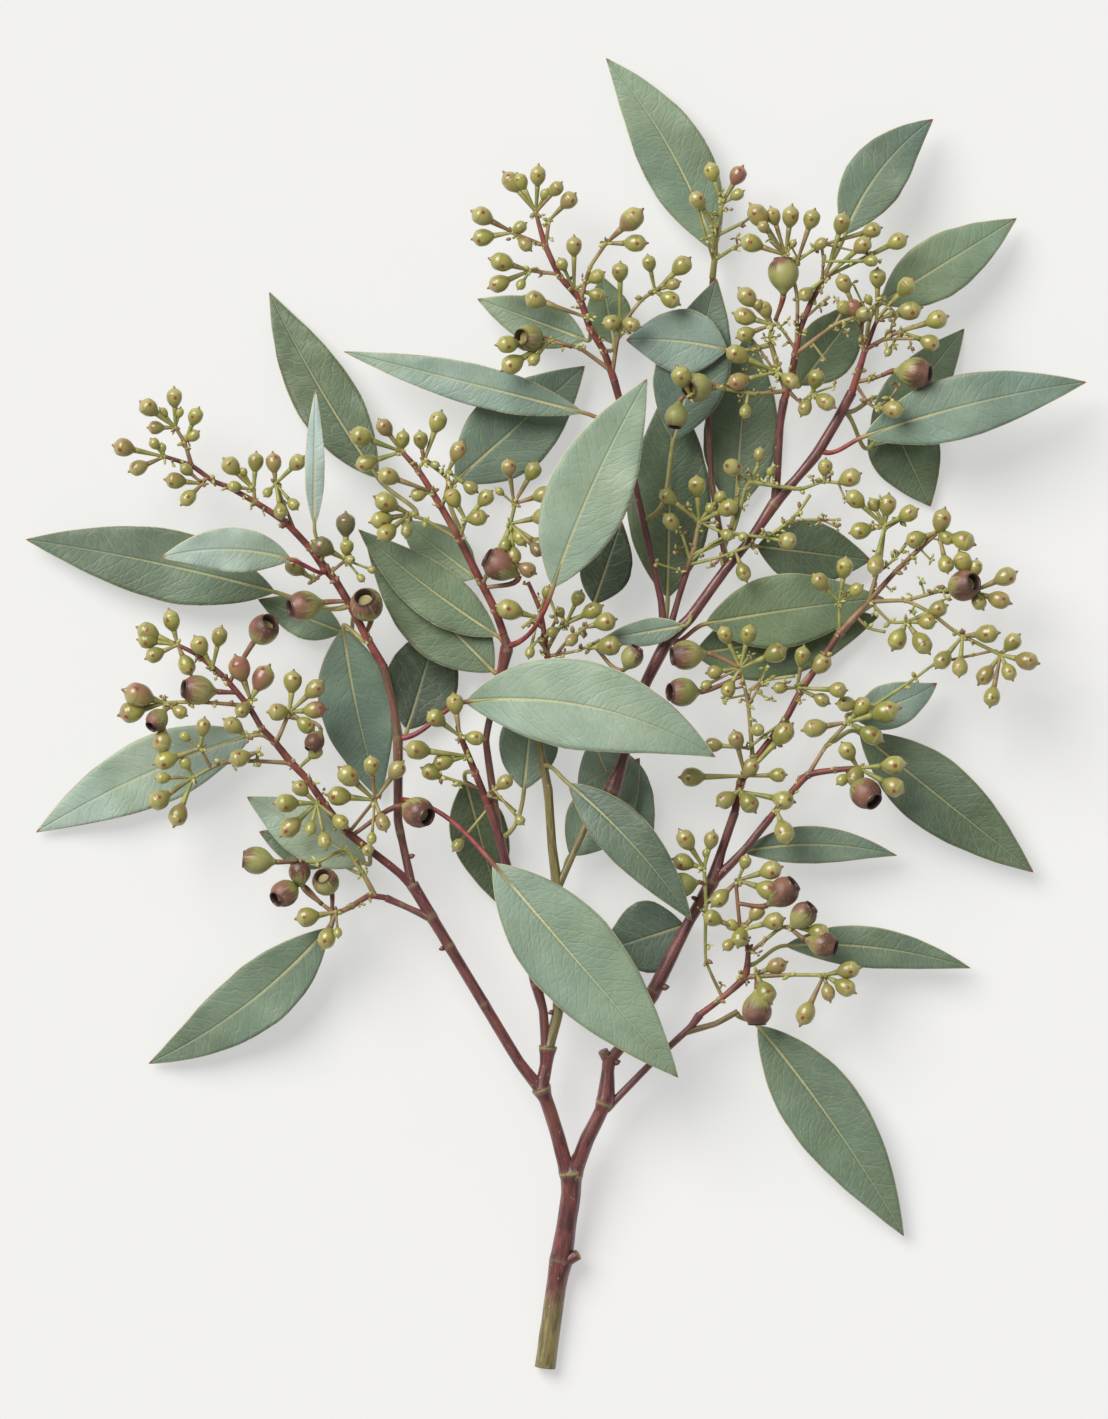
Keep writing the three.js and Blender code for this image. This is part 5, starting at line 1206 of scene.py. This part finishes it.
def add_umbels(skin, runs, umbels):
    """The heads of a spray with the buds that the solids have too. Gives back where the heads are."""
    heads = []
    for px, py, lift, buds in umbels:
        seat = nearest_on(runs, px, py)[0]
        head = placed(px, py, seat[2] + lift)
        heads.append(head)
        if np.linalg.norm(head - seat) > 0.6:
            add_stalk(skin, seat, head, unit(head - seat), (0.6, 0.6), 0.3, 0.5)
        add_knob(skin, head, HEAD_WIDTH / 2 * 0.85, 0.05, 0.3)
        add_bracts(skin, head, int(px), int(py), 5, 0.9)
        for bud in buds:
            add_bud(skin, head, bud)
    return heads


def add_inner_bud(skin, runs, heads, bud):
    """A bud on the umbel nearest to it, or on a twig where no umbel is near."""
    flat = placed(bud[0], bud[1], 0)
    near = min(heads, key=lambda h: np.hypot(*(h - flat)[:2]))
    if np.hypot(*(near - flat)[:2]) > mm(HEAD_REACH_PX):
        near = nearest_on(runs, bud[0], bud[1])[0]
        add_knob(skin, near, 0.8, 0.0, 0.4)
    add_bud(skin, near, bud)


def make_spray(name, spray, materials):
    skin = Skin()
    runs = spray_runs(dict(spray, axes=spray["axes"] + INNER_TWIGS.get(name, [])))
    add_twigs(skin, runs, REDNESS.get(name, 0.0))
    heads = add_umbels(skin, runs, spray["heads"])
    for bud in INNER_BUDS[name]:
        add_inner_bud(skin, runs, heads, bud)
    for nut in spray["nuts"]:
        add_nut(skin, runs, nut)
    for px, py in TUFTS.get(name, ()):
        root = nearest_on(runs, px, py)[0]
        add_tuft(skin, root, placed(px, py, root[2] + draw_at(px, py, 0.5, 2.5)), px * 3 + py, 4)
    add_clutter(skin, runs, int(runs[0][0][0][0] * 10) & 1023)
    skin.dress(name, materials)


# Materials


def lin(code):
    """A colour as the shader wants it, from its six-digit web code."""
    parts = [int(code[i : i + 2], 16) / 255 for i in (0, 2, 4)]
    return tuple(c / 12.92 if c <= 0.04045 else ((c + 0.055) / 1.055) ** 2.4 for c in parts) + (1.0,)


class Shade:
    """A procedural material: one principled shader and the nodes that feed it."""

    def __init__(self, name):
        self.material = bpy.data.materials.new(name)
        self.material.use_nodes = True
        self.tree = self.material.node_tree
        self.shader = next(n for n in self.tree.nodes if n.type == "BSDF_PRINCIPLED")
        self.where = self.new("ShaderNodeTexCoord").outputs["Object"]

    def new(self, kind):
        return self.tree.nodes.new(kind)

    def feed(self, socket, value):
        if isinstance(value, bpy.types.NodeSocket):
            self.tree.links.new(value, socket)
        else:
            socket.default_value = value

    def mark(self, name):
        node = self.new("ShaderNodeAttribute")
        node.attribute_name = "m_" + name
        return node.outputs["Fac"]

    def math(self, operation, a, b=0.0):
        node = self.new("ShaderNodeMath")
        node.operation = operation
        self.feed(node.inputs[0], a)
        self.feed(node.inputs[1], b)
        return node.outputs[0]

    def plus(self, total, *others):
        for other in others:
            total = self.math("ADD", total, other)
        return total

    def minus(self, a, b):
        return self.math("SUBTRACT", a, b)

    def times(self, product, *others):
        for other in others:
            product = self.math("MULTIPLY", product, other)
        return product

    def apart(self, a, b):
        return self.math("ABSOLUTE", self.minus(a, b))

    def span(self, value, low, high, to_low=0.0, to_high=1.0, soft=True):
        """A value from low to high, turned into one from to_low to to_high and held there outside."""
        node = self.new("ShaderNodeMapRange")
        node.interpolation_type = "SMOOTHSTEP" if soft else "LINEAR"
        keys = ("Value", "From Min", "From Max", "To Min", "To Max")
        for key, item in zip(keys, (value, low, high, to_low, to_high)):
            self.feed(node.inputs[key], item)
        return node.outputs[0]

    def fading(self, value, low, high):
        """1 up to low and 0 from high."""
        return self.span(value, low, high, 1.0, 0.0)

    def band(self, value, middle, reach):
        """1 where a value is at the middle, and 0 from reach away."""
        return self.fading(self.apart(value, middle), 0.0, reach)

    def mix(self, share, a, b, blend="MIX"):
        node = self.new("ShaderNodeMix")
        node.data_type = "RGBA"
        node.blend_type = blend
        self.feed(node.inputs[0], share)
        self.feed(node.inputs[6], a)
        self.feed(node.inputs[7], b)
        return node.outputs[2]

    def tint(self, colour, share, code):
        return self.mix(share, colour, lin(code))

    def cast(self, colour, filter_colour):
        return self.mix(1.0, colour, filter_colour, "MULTIPLY")

    def ramp(self, value, stops):
        node = self.new("ShaderNodeValToRGB")
        points = node.color_ramp.elements
        while len(points) < len(stops):
            points.new(0.5)
        for point, (place, colour) in zip(points, stops):
            point.position, point.color = place, colour
        self.feed(node.inputs[0], value)
        return node.outputs[0]

    def noise(self, scale, detail=3.0, vector=None, rough=0.5):
        node = self.new("ShaderNodeTexNoise")
        node.inputs["Scale"].default_value = scale
        node.inputs["Detail"].default_value = detail
        node.inputs["Roughness"].default_value = rough
        self.feed(node.inputs["Vector"], self.where if vector is None else vector)
        return node.outputs["Fac"]

    def patches(self, scale, detail, *bounds):
        """A noise with the bounds that span takes."""
        return self.span(self.noise(scale, detail), *bounds)

    def centred(self, value, width):
        """A value from 0 to 1 as one that lies round 0 and is this wide."""
        return self.times(self.minus(value, 0.5), width)

    def blotch(self, scale, detail, one, other, low=0.35, high=0.65):
        """Two colours in soft patches."""
        return self.mix(self.patches(scale, detail, low, high), lin(one), lin(other))

    def cells(self, scale, feature="DISTANCE_TO_EDGE", vector=None):
        node = self.new("ShaderNodeTexVoronoi")
        node.feature = feature
        node.inputs["Scale"].default_value = scale
        self.feed(node.inputs["Vector"], self.where if vector is None else vector)
        return node.outputs["Distance"]

    def dots(self, scale, low, high):
        return self.fading(self.cells(scale, "F1"), low, high)

    def vector(self, x, y, z):
        node = self.new("ShaderNodeCombineXYZ")
        for socket, value in zip(node.inputs, (x, y, z)):
            self.feed(socket, value)
        return node.outputs[0]

    def gloss(self, level, coat=0.0, coat_roughness=0.03):
        """How strongly the skin mirrors, and the clear coat on it. These sockets keep plain numbers."""
        self.shader.inputs["Specular IOR Level"].default_value = level
        self.shader.inputs["Coat Weight"].default_value = coat
        self.shader.inputs["Coat Roughness"].default_value = coat_roughness

    def finish(self, colour, rough, height=None, strength=0.3, depth=0.0002):
        self.feed(self.shader.inputs["Base Color"], colour)
        self.feed(self.shader.inputs["Roughness"], rough)
        if height is not None:
            bump = self.new("ShaderNodeBump")
            bump.inputs["Strength"].default_value = strength
            bump.inputs["Distance"].default_value = depth
            self.feed(bump.inputs["Height"], height)
            self.feed(self.shader.inputs["Normal"], bump.outputs[0])
        return self.material


# The green of a blade at a few tones, from the darkest
FLESH = (
    (0.03, (0.024, 0.038, 0.022, 1)), (0.12, (0.083, 0.122, 0.076, 1)), (0.22, (0.152, 0.222, 0.145, 1)),
    (0.33, (0.238, 0.335, 0.230, 1)), (0.50, (0.395, 0.500, 0.385, 1)),
)
# What the green is multiplied by on the warmest leaf, on the coolest one and in patches of each
WARM_LEAF, COOL_LEAF = (1.08, 1.0, 0.74, 1), (1.03, 1.0, 1.34, 1)
WARM_PATCH, COOL_PATCH = (1.08, 1.04, 0.84, 1), (0.86, 0.98, 1.10, 1)
VEIN_SPACING, FINE_VEIN_SPACING = 5.9, 2.1


def blade_flesh(s, tone, cool):
    """The green between the veins, uneven in lightness, and warmer or cooler in patches."""
    broad = s.patches(26.0, 2.0, 0.32, 0.68, 0.80, 1.17, False)
    local = s.patches(95.0, 3.0, 0.3, 0.7, 0.90, 1.10, False)
    flesh = s.ramp(s.times(tone, broad, local), FLESH)
    flesh = s.cast(flesh, s.mix(s.span(cool, -0.3, 0.3, 0.0, 1.0, False), WARM_LEAF, COOL_LEAF))
    cooler, warmer = s.cast(flesh, COOL_PATCH), s.cast(flesh, WARM_PATCH)
    flesh = s.mix(s.patches(38.0, 3.0, 0.38, 0.66, 0.0, 0.6), flesh, cooler)
    return s.mix(s.patches(17.0, 2.0, 0.42, 0.66, 0.0, 0.45), flesh, warmer)


def vein_phase(s, along, across, outward):
    """How far along the midrib the side vein through a place starts, in mm."""
    climb = s.plus(s.times(outward, 0.8), s.times(s.math("POWER", outward, 2.0), 0.034))
    stagger = s.times(s.math("SIGN", across), 1.4)
    wander, jitter = s.centred(s.noise(58.0, 3.0), 11.0), s.centred(s.noise(300.0, 2.0), 1.5)
    return s.plus(s.minus(along, climb), stagger, s.plus(wander, jitter))


def vein_lines(s, phase, spacing, shift, half):
    """How far the nearest of a row of veins is, in mm, and the vein itself as a share."""
    turn = s.math("FRACT", s.math("DIVIDE", s.plus(phase, 400.0 + shift), spacing))
    off = s.times(s.apart(turn, 0.5), spacing)
    return off, s.fading(off, half * 0.2, half)


def add_veins(s, flesh, shaded_flesh, along, phase, edge):
    """The flesh with its side veins, small veins and nets, a painted shade beside each side vein, and how
    high they stand.
    """
    pale = s.cast(s.tint(flesh, 0.4, "a9b58c"), (1.14, 1.14, 1.0, 1))
    off, vein = vein_lines(s, phase, VEIN_SPACING, 0.0, 0.27)
    _, fine = vein_lines(s, phase, FINE_VEIN_SPACING, 1.3, 0.2)
    inside = s.span(edge, 0.9, 2.4)
    vein = s.times(vein, inside, s.patches(70.0, 1.0, 0.32, 0.58, 0.25, 1.0))
    fine = s.times(fine, inside, s.patches(150.0, 2.0, 0.45, 0.62))
    twist = s.vector(s.times(along, 0.001), s.times(phase, 0.0008), 0.0)
    cell = s.cells(330.0, "DISTANCE_TO_EDGE", twist)
    net, fine_net = s.fading(cell, 0.0, 0.07), s.fading(s.cells(1150.0), 0.0, 0.12)
    colour = flesh
    for line, share in ((fine_net, 0.12), (net, 0.20), (fine, 0.16), (s.band(edge, 1.6, 0.2), 0.18)):
        colour = s.mix(s.times(line, share), colour, pale)
    # Painted shade: a darker line beside each side vein
    colour = s.mix(s.times(s.band(off, 0.45, 0.4), inside, 0.16), colour, shaded_flesh)
    colour = s.mix(s.times(vein, 0.40), colour, pale)
    height = s.plus(s.times(s.span(off, 0.0, 0.8), 0.35), s.times(s.span(cell, 0.0, 0.16), 0.28))
    return colour, height


def add_rib(s, colour, flesh, shaded_flesh, share, rib_reach, tone):
    """The midrib, paler than the blade, with a shadow on both sides."""
    # Painted shadow along both sides of the midrib
    colour = s.mix(s.times(s.band(rib_reach, 1.7, 0.9), 0.35), colour, shaded_flesh)
    rib = s.mix(s.span(share, 0.0, 0.9), lin("c9bf85"), s.tint(flesh, 0.4, "b9bd8c"))
    rib = s.mix(s.span(tone, 0.08, 0.3, 0.4, 0.0), rib, flesh)
    return s.mix(s.times(s.fading(rib_reach, 0.5, 1.05), 0.92), colour, rib)


def add_rim(s, colour, flesh, edge, tone):
    """The thickened rim, straw to brown."""
    rim = s.blotch(60.0, 2.0, "cfc498", "a88263", 0.5, 0.64)
    rim = s.mix(s.span(tone, 0.05, 0.3, 0.4, 0.0), rim, flesh)
    return s.mix(s.span(edge, 0.14, 0.36, 0.85, 0.0), colour, rim)


def make_blade_material():
    s = Shade("leaf_blade")
    along, across, edge = s.mark("along"), s.mark("across"), s.mark("edge")
    length, tone = s.mark("length"), s.mark("tone")
    share = s.math("DIVIDE", along, length)
    outward = s.math("ABSOLUTE", across)
    rib_reach = s.math("DIVIDE", outward, s.span(share, 0.0, 1.0, 0.50, 0.17, False))
    flesh = blade_flesh(s, tone, s.mark("seed"))
    # A darker copy of the flesh, laid on as painted shade beside the side veins and the midrib
    shaded_flesh = s.cast(flesh, (0.70, 0.76, 0.74, 1))
    phase = vein_phase(s, along, across, outward)
    colour, height = add_veins(s, flesh, shaded_flesh, along, phase, edge)
    colour = add_rib(s, colour, flesh, shaded_flesh, share, rib_reach, tone)
    colour = add_rim(s, colour, flesh, edge, tone)
    colour = s.tint(colour, s.span(s.minus(length, along), 0.6, 2.6, 0.8, 0.0), "7d4436")
    speck = s.times(s.dots(420.0, 0.07, 0.11), s.patches(30.0, 1.0, 0.52, 0.62))
    colour = s.tint(colour, s.times(speck, 0.3), "6b5a3c")
    rib_height, grain = s.times(s.span(rib_reach, 0.4, 2.4), 0.9), s.times(s.noise(150.0, 3.0), 0.9)
    height = s.plus(height, rib_height, grain)
    s.gloss(0.4)
    return s.finish(colour, s.patches(140.0, 3.0, 0.3, 0.7, 0.42, 0.60), height, 0.6, 0.0003)


def make_petiole_material():
    s = Shade("leaf_petiole")
    olive = s.blotch(180.0, 2.0, "a7a063", "8f8a52")
    ruddy = s.blotch(260.0, 2.0, "9c4a47", "7b3436")
    share = s.plus(s.mark("tone"), s.centred(s.noise(90.0, 2.0), 0.5))
    return s.finish(s.mix(s.span(share, 0.2, 0.75), olive, ruddy), 0.46, s.noise(600.0, 2.0), 0.3)


def bud_green(s, share, young, ripe, seed):
    """A bud's skin: the cap paler than the cup, a seam between them and a blush on the ripe ones."""
    colour = s.blotch(110.0, 3.0, "a5a04f", "807f39")
    colour = s.tint(colour, s.span(seed, 0.2, 1.0, 0.0, 0.6), "a39459")
    colour = s.tint(colour, s.times(young, 0.55), "a3a552")
    colour = s.tint(colour, s.times(s.fading(share, -0.5, -0.12), 0.45), "7f8448")
    colour = s.tint(colour, s.times(s.span(share, 0.13, 0.2), 0.42), "b2ad6e")
    colour = s.tint(colour, s.times(s.band(share, 0.145, 0.022), 0.4), "6d6a3c")
    blush = s.times(s.patches(70.0, 2.0, 0.42, 0.68), s.span(ripe, 0.45, 1.5, 0.0, 1.0))
    colour = s.tint(colour, blush, "93604f")
    colour = s.tint(colour, s.span(ripe, 1.5, 2.0, 0.0, 0.75), "555039")
    colour = s.tint(colour, s.times(s.span(share, 0.44, 0.52), 0.85), "8d6a45")
    return s.tint(colour, s.times(s.span(share, 0.54, 0.58), 0.9), "5b3428")


def bud_spot(s, share, turn, young, ripe, seed):
    """The red spot on the side of a bud, and a few crumbs of the same red."""
    round_off = s.minus(turn, s.span(seed, 0.0, 1.0, -0.55, 0.55, False))
    down_off = s.times(s.minus(share, s.span(ripe, 0.0, 1.0, 0.02, 0.26, False)), 2.6)
    squares = s.plus(s.math("POWER", round_off, 2.0), s.math("POWER", down_off, 2.0))
    far = s.plus(s.math("SQRT", squares), s.centred(s.noise(500.0, 2.0), 0.14))
    spot = s.times(s.fading(far, 0.14, 0.3), s.fading(young, 0.0, 0.5))
    crumb = s.times(s.dots(520.0, 0.08, 0.14), s.patches(210.0, 1.0, 0.5, 0.56))
    return s.math("MAXIMUM", spot, s.times(crumb, 0.8))


def make_bud_material():
    s = Shade("bud_skin")
    share, turn, young = s.mark("along"), s.mark("across"), s.mark("edge")
    ripe, seed = s.mark("tone"), s.mark("seed")
    colour = bud_green(s, share, young, ripe, seed)
    colour = s.tint(colour, s.times(bud_spot(s, share, turn, young, ripe, seed), 0.95), "8a3a28")
    dots = s.dots(900.0, 0.12, 0.22)
    colour = s.tint(colour, s.times(dots, 0.16), "5f6a33")
    height = s.plus(s.times(dots, -0.5), s.noise(420.0, 3.0))
    s.gloss(0.7, 0.4, 0.2)
    return s.finish(colour, s.patches(200.0, 2.0, 0.3, 0.7, 0.26, 0.38), height, 0.3, 0.00012)


def make_nut_material():
    s = Shade("nut_skin")
    share, turn, inner = s.mark("along"), s.mark("across"), s.mark("edge")
    ripe, seed = s.mark("tone"), s.mark("seed")
    green = s.blotch(90.0, 3.0, "a3a063", "83854c")
    plum = s.blotch(150.0, 2.0, "86564c", "5a3431", 0.4, 0.62)
    streak = s.noise(1.0, 3.0, s.vector(s.times(turn, 5.0), s.times(share, 1.6), seed), 0.6)
    patch = s.plus(
        s.noise(60.0, 3.0), s.centred(ripe, 0.45), s.span(share, -0.4, 0.45, -0.3, 0.22, False),
        s.centred(streak, 0.7),
    )
    colour = s.mix(s.span(patch, 0.36, 0.62, 0.0, 0.92), green, plum)
    colour = s.tint(colour, s.times(s.dots(650.0, 0.12, 0.24), 0.35), "b3a47c")
    colour = s.tint(colour, s.times(s.span(share, 0.36, 0.47), 0.8), "4a3032")
    # The nut's inner wall: its own dark brown, darkened toward the depth of the hollow as painted shade
    shaded_hollow_wall = s.mix(s.span(share, 0.25, 0.44), lin("20130f"), lin("4a3029"))
    disc = s.mix(s.span(share, 0.215, 0.235), lin("988a55"), shaded_hollow_wall)
    height = s.plus(s.noise(260.0, 4.0), s.times(s.cells(700.0), 0.6))
    s.gloss(0.5)
    rough = s.patches(160.0, 2.0, 0.3, 0.7, 0.33, 0.52)
    return s.finish(s.mix(inner, colour, disc), rough, height, 0.5, 0.0002)


def make_twig_material():
    s = Shade("twig_skin")
    red, seed = s.mark("tone"), s.mark("seed")
    share = s.plus(red, s.centred(s.noise(75.0, 3.0), 0.75))
    green = s.blotch(220.0, 2.0, "a3a05a", "868a4a")
    tan = s.blotch(160.0, 2.0, "a08660", "7d6446")
    ruddy = s.blotch(190.0, 2.0, "8a4a40", "5c2f2a")
    straw = s.mix(s.span(seed, 0.3, 0.7), lin("c3bf7e"), lin("a3a45a"))
    colour = s.mix(s.span(share, 0.08, 0.34), green, tan)
    colour = s.mix(s.span(share, 0.38, 0.72), colour, ruddy)
    colour = s.mix(s.span(red, -0.38, -0.2, 0.8, 0.0), colour, straw)
    height = s.plus(s.noise(520.0, 3.0), s.times(s.cells(800.0), 0.5))
    return s.finish(colour, 0.5, height, 0.45)


def make_bark_material():
    s = Shade("stem_bark")
    along, around, ring, olive_share = s.mark("along"), s.mark("across"), s.mark("edge"), s.mark("tone")
    turn = s.times(around, LOOP)
    round_x, round_y = s.times(s.math("COSINE", turn), 2.4), s.times(s.math("SINE", turn), 2.4)
    grain = s.noise(1.0, 4.0, s.vector(round_x, round_y, s.times(along, 0.16)), 0.6)
    ruddy = s.mix(s.span(grain, 0.38, 0.62), lin("7a3d39"), lin("461f20"))
    ruddy = s.tint(ruddy, s.patches(48.0, 4.0, 0.5, 0.72, 0.0, 0.5), "84523f")
    olive = s.mix(s.span(grain, 0.38, 0.62), lin("8b7c4c"), lin("62592f"))
    share = s.plus(olive_share, s.centred(s.noise(40.0, 3.0), 0.5))
    colour = s.mix(s.span(share, 0.3, 0.7), ruddy, olive)
    colour = s.tint(colour, s.times(ring, 0.75), "a3a06c")
    colour = s.tint(colour, s.times(s.band(ring, 0.5, 0.25), 0.4), "4a3328")
    pores = s.times(s.dots(330.0, 0.1, 0.2), s.patches(80.0, 1.0, 0.5, 0.6))
    colour = s.tint(colour, s.times(pores, 0.5), "a98d72")
    height = s.plus(s.times(grain, 1.2), s.times(pores, 0.6), s.times(s.noise(300.0, 3.0), 0.5))
    s.gloss(0.65, 0.45, 0.32)
    return s.finish(colour, s.span(grain, 0.3, 0.7, 0.32, 0.48), height, 0.6, 0.0003)


def make_wood_material():
    s = Shade("cut_wood")
    far = s.mark("edge")
    colour = s.blotch(700.0, 3.0, "b59a78", "8f7250")
    colour = s.tint(colour, s.times(s.fading(far, 0.0, 0.28), 0.85), "3d2a20")
    colour = s.tint(colour, s.span(far, 0.8, 0.95), "6a5a34")
    return s.finish(colour, 0.75, s.noise(900.0, 3.0), 0.6)


# The stem


def collar_mark(centre, way, reach):
    """How near a place along a branch is to a collar, from 0 to 1."""
    best = 0.0
    for px, py, share in COLLARS:
        off = placed(px, py, centre[2]) - centre
        if np.linalg.norm(off) < 7:
            best = max(best, share * math.exp(-((np.dot(off, way) / reach) ** 2)))
    return best


def share_past(centre, py, reach, start=0.0):
    """How far a place has come past a height in the photograph, as a share of a reach in mm."""
    return float(np.clip((centre[1] - placed(0, py, 0)[1]) / reach + start, 0, 1))


def olive_at(name, centre):
    """How olive the bark is, from 0, red, to 1."""
    if name == "trunk":
        return 0.95 - 0.95 * share_past(centre, *TRUNK_TURNS_RED, 0.2)
    if name == "middle_cross":
        return 0.85 - 0.8 * share_past(centre, *CROSS_TURNS_RED)
    return OLIVE.get(name, 0.05)


def over_table(place):
    """A place, raised where it would sink into the table."""
    place[2] = max(place[2], LOWEST)
    return place


def add_branch(skin, name, points):
    places, radii = run_of(points)
    path, sizes = smooth_path(places, radii, BRANCH_STEP, 0.45)
    sides = BRANCH_SIDES if max(radii) > THIN_BRANCH_RADIUS else THIN_BRANCH_SIDES
    rings = []
    for i, (centre, way, across, over) in enumerate(frames_along(path)):
        collar = collar_mark(centre, way, 0.55)
        swell = 1 + 0.13 * collar_mark(centre, way, 1.5)
        olive = olive_at(name, centre)
        ring = []
        for turn, share in turns(sides):
            side = sideways(across, over, turn)
            spot = (centre[0] * 0.16 + side[0] * 1.1, centre[1] * 0.16, side[2] * 1.1 + sides)
            place = over_table(centre + side * sizes[i] * (swell + 0.035 * noise(Vector(spot))))
            ring.append(skin.add(place, (i * BRANCH_STEP, share, collar, 1, olive, 0.5)))
        rings.append(ring)
    skin.loft(rings, 0)
    return path, sizes


def add_cut(skin, path, sizes):
    """The pale cut face that closes the start of a branch."""
    way = unit(path[0] - path[1])
    across, over = frame_of(way)
    rings = []
    for size in CUT_SHARES:
        middle = path[0] + way * (0.06 + 0.1 * (1 - size))
        ring = []
        for turn, share in turns(CUT_SIDES):
            place = over_table(middle + sideways(across, over, turn) * sizes[0] * size * CUT_LEAN)
            ring.append(skin.add(place, (0, share, size, 1, 0.5, 0.5)))
        rings.append(ring)
    skin.loft(rings, 1, False)


def make_stem(materials):
    skin = Skin()
    for name, points in BRANCHES.items():
        path, sizes = add_branch(skin, name, points)
        if name == "trunk":
            add_cut(skin, path, sizes)
        if name == "stub_low":
            add_cut(skin, path[::-1], sizes[::-1])
    for px, py, degrees, length in STEM_BUDS:
        seat, radius, _ = nearest_on(STEM_RUNS, px, py)
        angle = math.radians(degrees)
        way = unit(np.array([math.cos(angle), math.sin(angle), 0.35]))
        add_scale(skin, seat + way * radius * 0.8, way, length, length * 0.75, 0, 0.45, 0.5)
    skin.dress("stem", materials)


# The surface, the light and the camera


def make_floor():
    mesh = bpy.data.meshes.new("table_top")
    half = TABLE_HALF_M
    corners = [(-half, -half, 0), (half, -half, 0), (half, half, 0), (-half, half, 0)]
    mesh.from_pydata(corners, [], [(0, 1, 2, 3)])
    s = Shade("table_paint")
    s.shader.inputs["Emission Color"].default_value = (1.0, 1.0, 0.99, 1)
    s.shader.inputs["Emission Strength"].default_value = TABLE_GLOW
    colour = s.mix(s.noise(30.0, 3.0), (0.360, 0.358, 0.352, 1), (0.375, 0.372, 0.367, 1))
    mesh.materials.append(s.finish(colour, 0.9))
    floor = bpy.data.objects.new("table_top", mesh)
    bpy.context.scene.collection.objects.link(floor)
    floor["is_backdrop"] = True


def add_sun():
    lamp = bpy.data.lights.new("sun", "SUN")
    lamp.energy = SUN_STRENGTH
    lamp.angle = math.radians(SUN_SPREAD_DEG)
    lamp.color = SUN_COLOUR
    holder = bpy.data.objects.new("sun", lamp)
    bpy.context.scene.collection.objects.link(holder)
    holder.rotation_euler = Vector(SUN_WAY).to_track_quat("Z", "Y").to_euler()


def light_scene():
    scene = bpy.context.scene
    world = bpy.data.worlds.new("studio")
    world.use_nodes = True
    backdrop = next(n for n in world.node_tree.nodes if n.type == "BACKGROUND")
    backdrop.inputs["Color"].default_value = (1.0, 1.0, 1.0, 1)
    backdrop.inputs["Strength"].default_value = STUDIO_LIGHT
    scene.world = world
    scene.view_settings.view_transform = "Standard"
    add_sun()


def add_camera():
    """A camera right above the middle of the photograph, far enough off to take in its height."""
    reach = PHOTO_SIZE[1] * MM_PER_PX * LENS / SENSOR
    lookat = placed(PHOTO_SIZE[0] / 2, PHOTO_SIZE[1] / 2, LOOK_HEIGHT)
    camera = bpy.data.cameras.new("camera")
    camera.type = "PERSP"
    camera.lens = LENS
    camera.sensor_width = SENSOR
    camera.clip_end = 100.0
    holder = bpy.data.objects.new("camera", camera)
    holder.location = Vector((lookat[0], lookat[1], lookat[2] + reach)) * 0.001
    bpy.context.scene.collection.objects.link(holder)
    bpy.context.scene.camera = holder


make_stem([make_bark_material(), make_wood_material()])
leaf_materials = [make_blade_material(), make_petiole_material()]
for leaf_name, leaf_blades in LEAVES.items():
    make_leaf(leaf_name, leaf_blades, leaf_materials)
spray_materials = [make_bud_material(), make_nut_material(), make_twig_material()]
for spray_name, spray_parts in SPRAYS.items():
    make_spray(spray_name, spray_parts, spray_materials)
make_floor()
light_scene()
add_camera()

[[[float(v) for v in corner] for corner in box] for box in (CAD_BOX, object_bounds())]
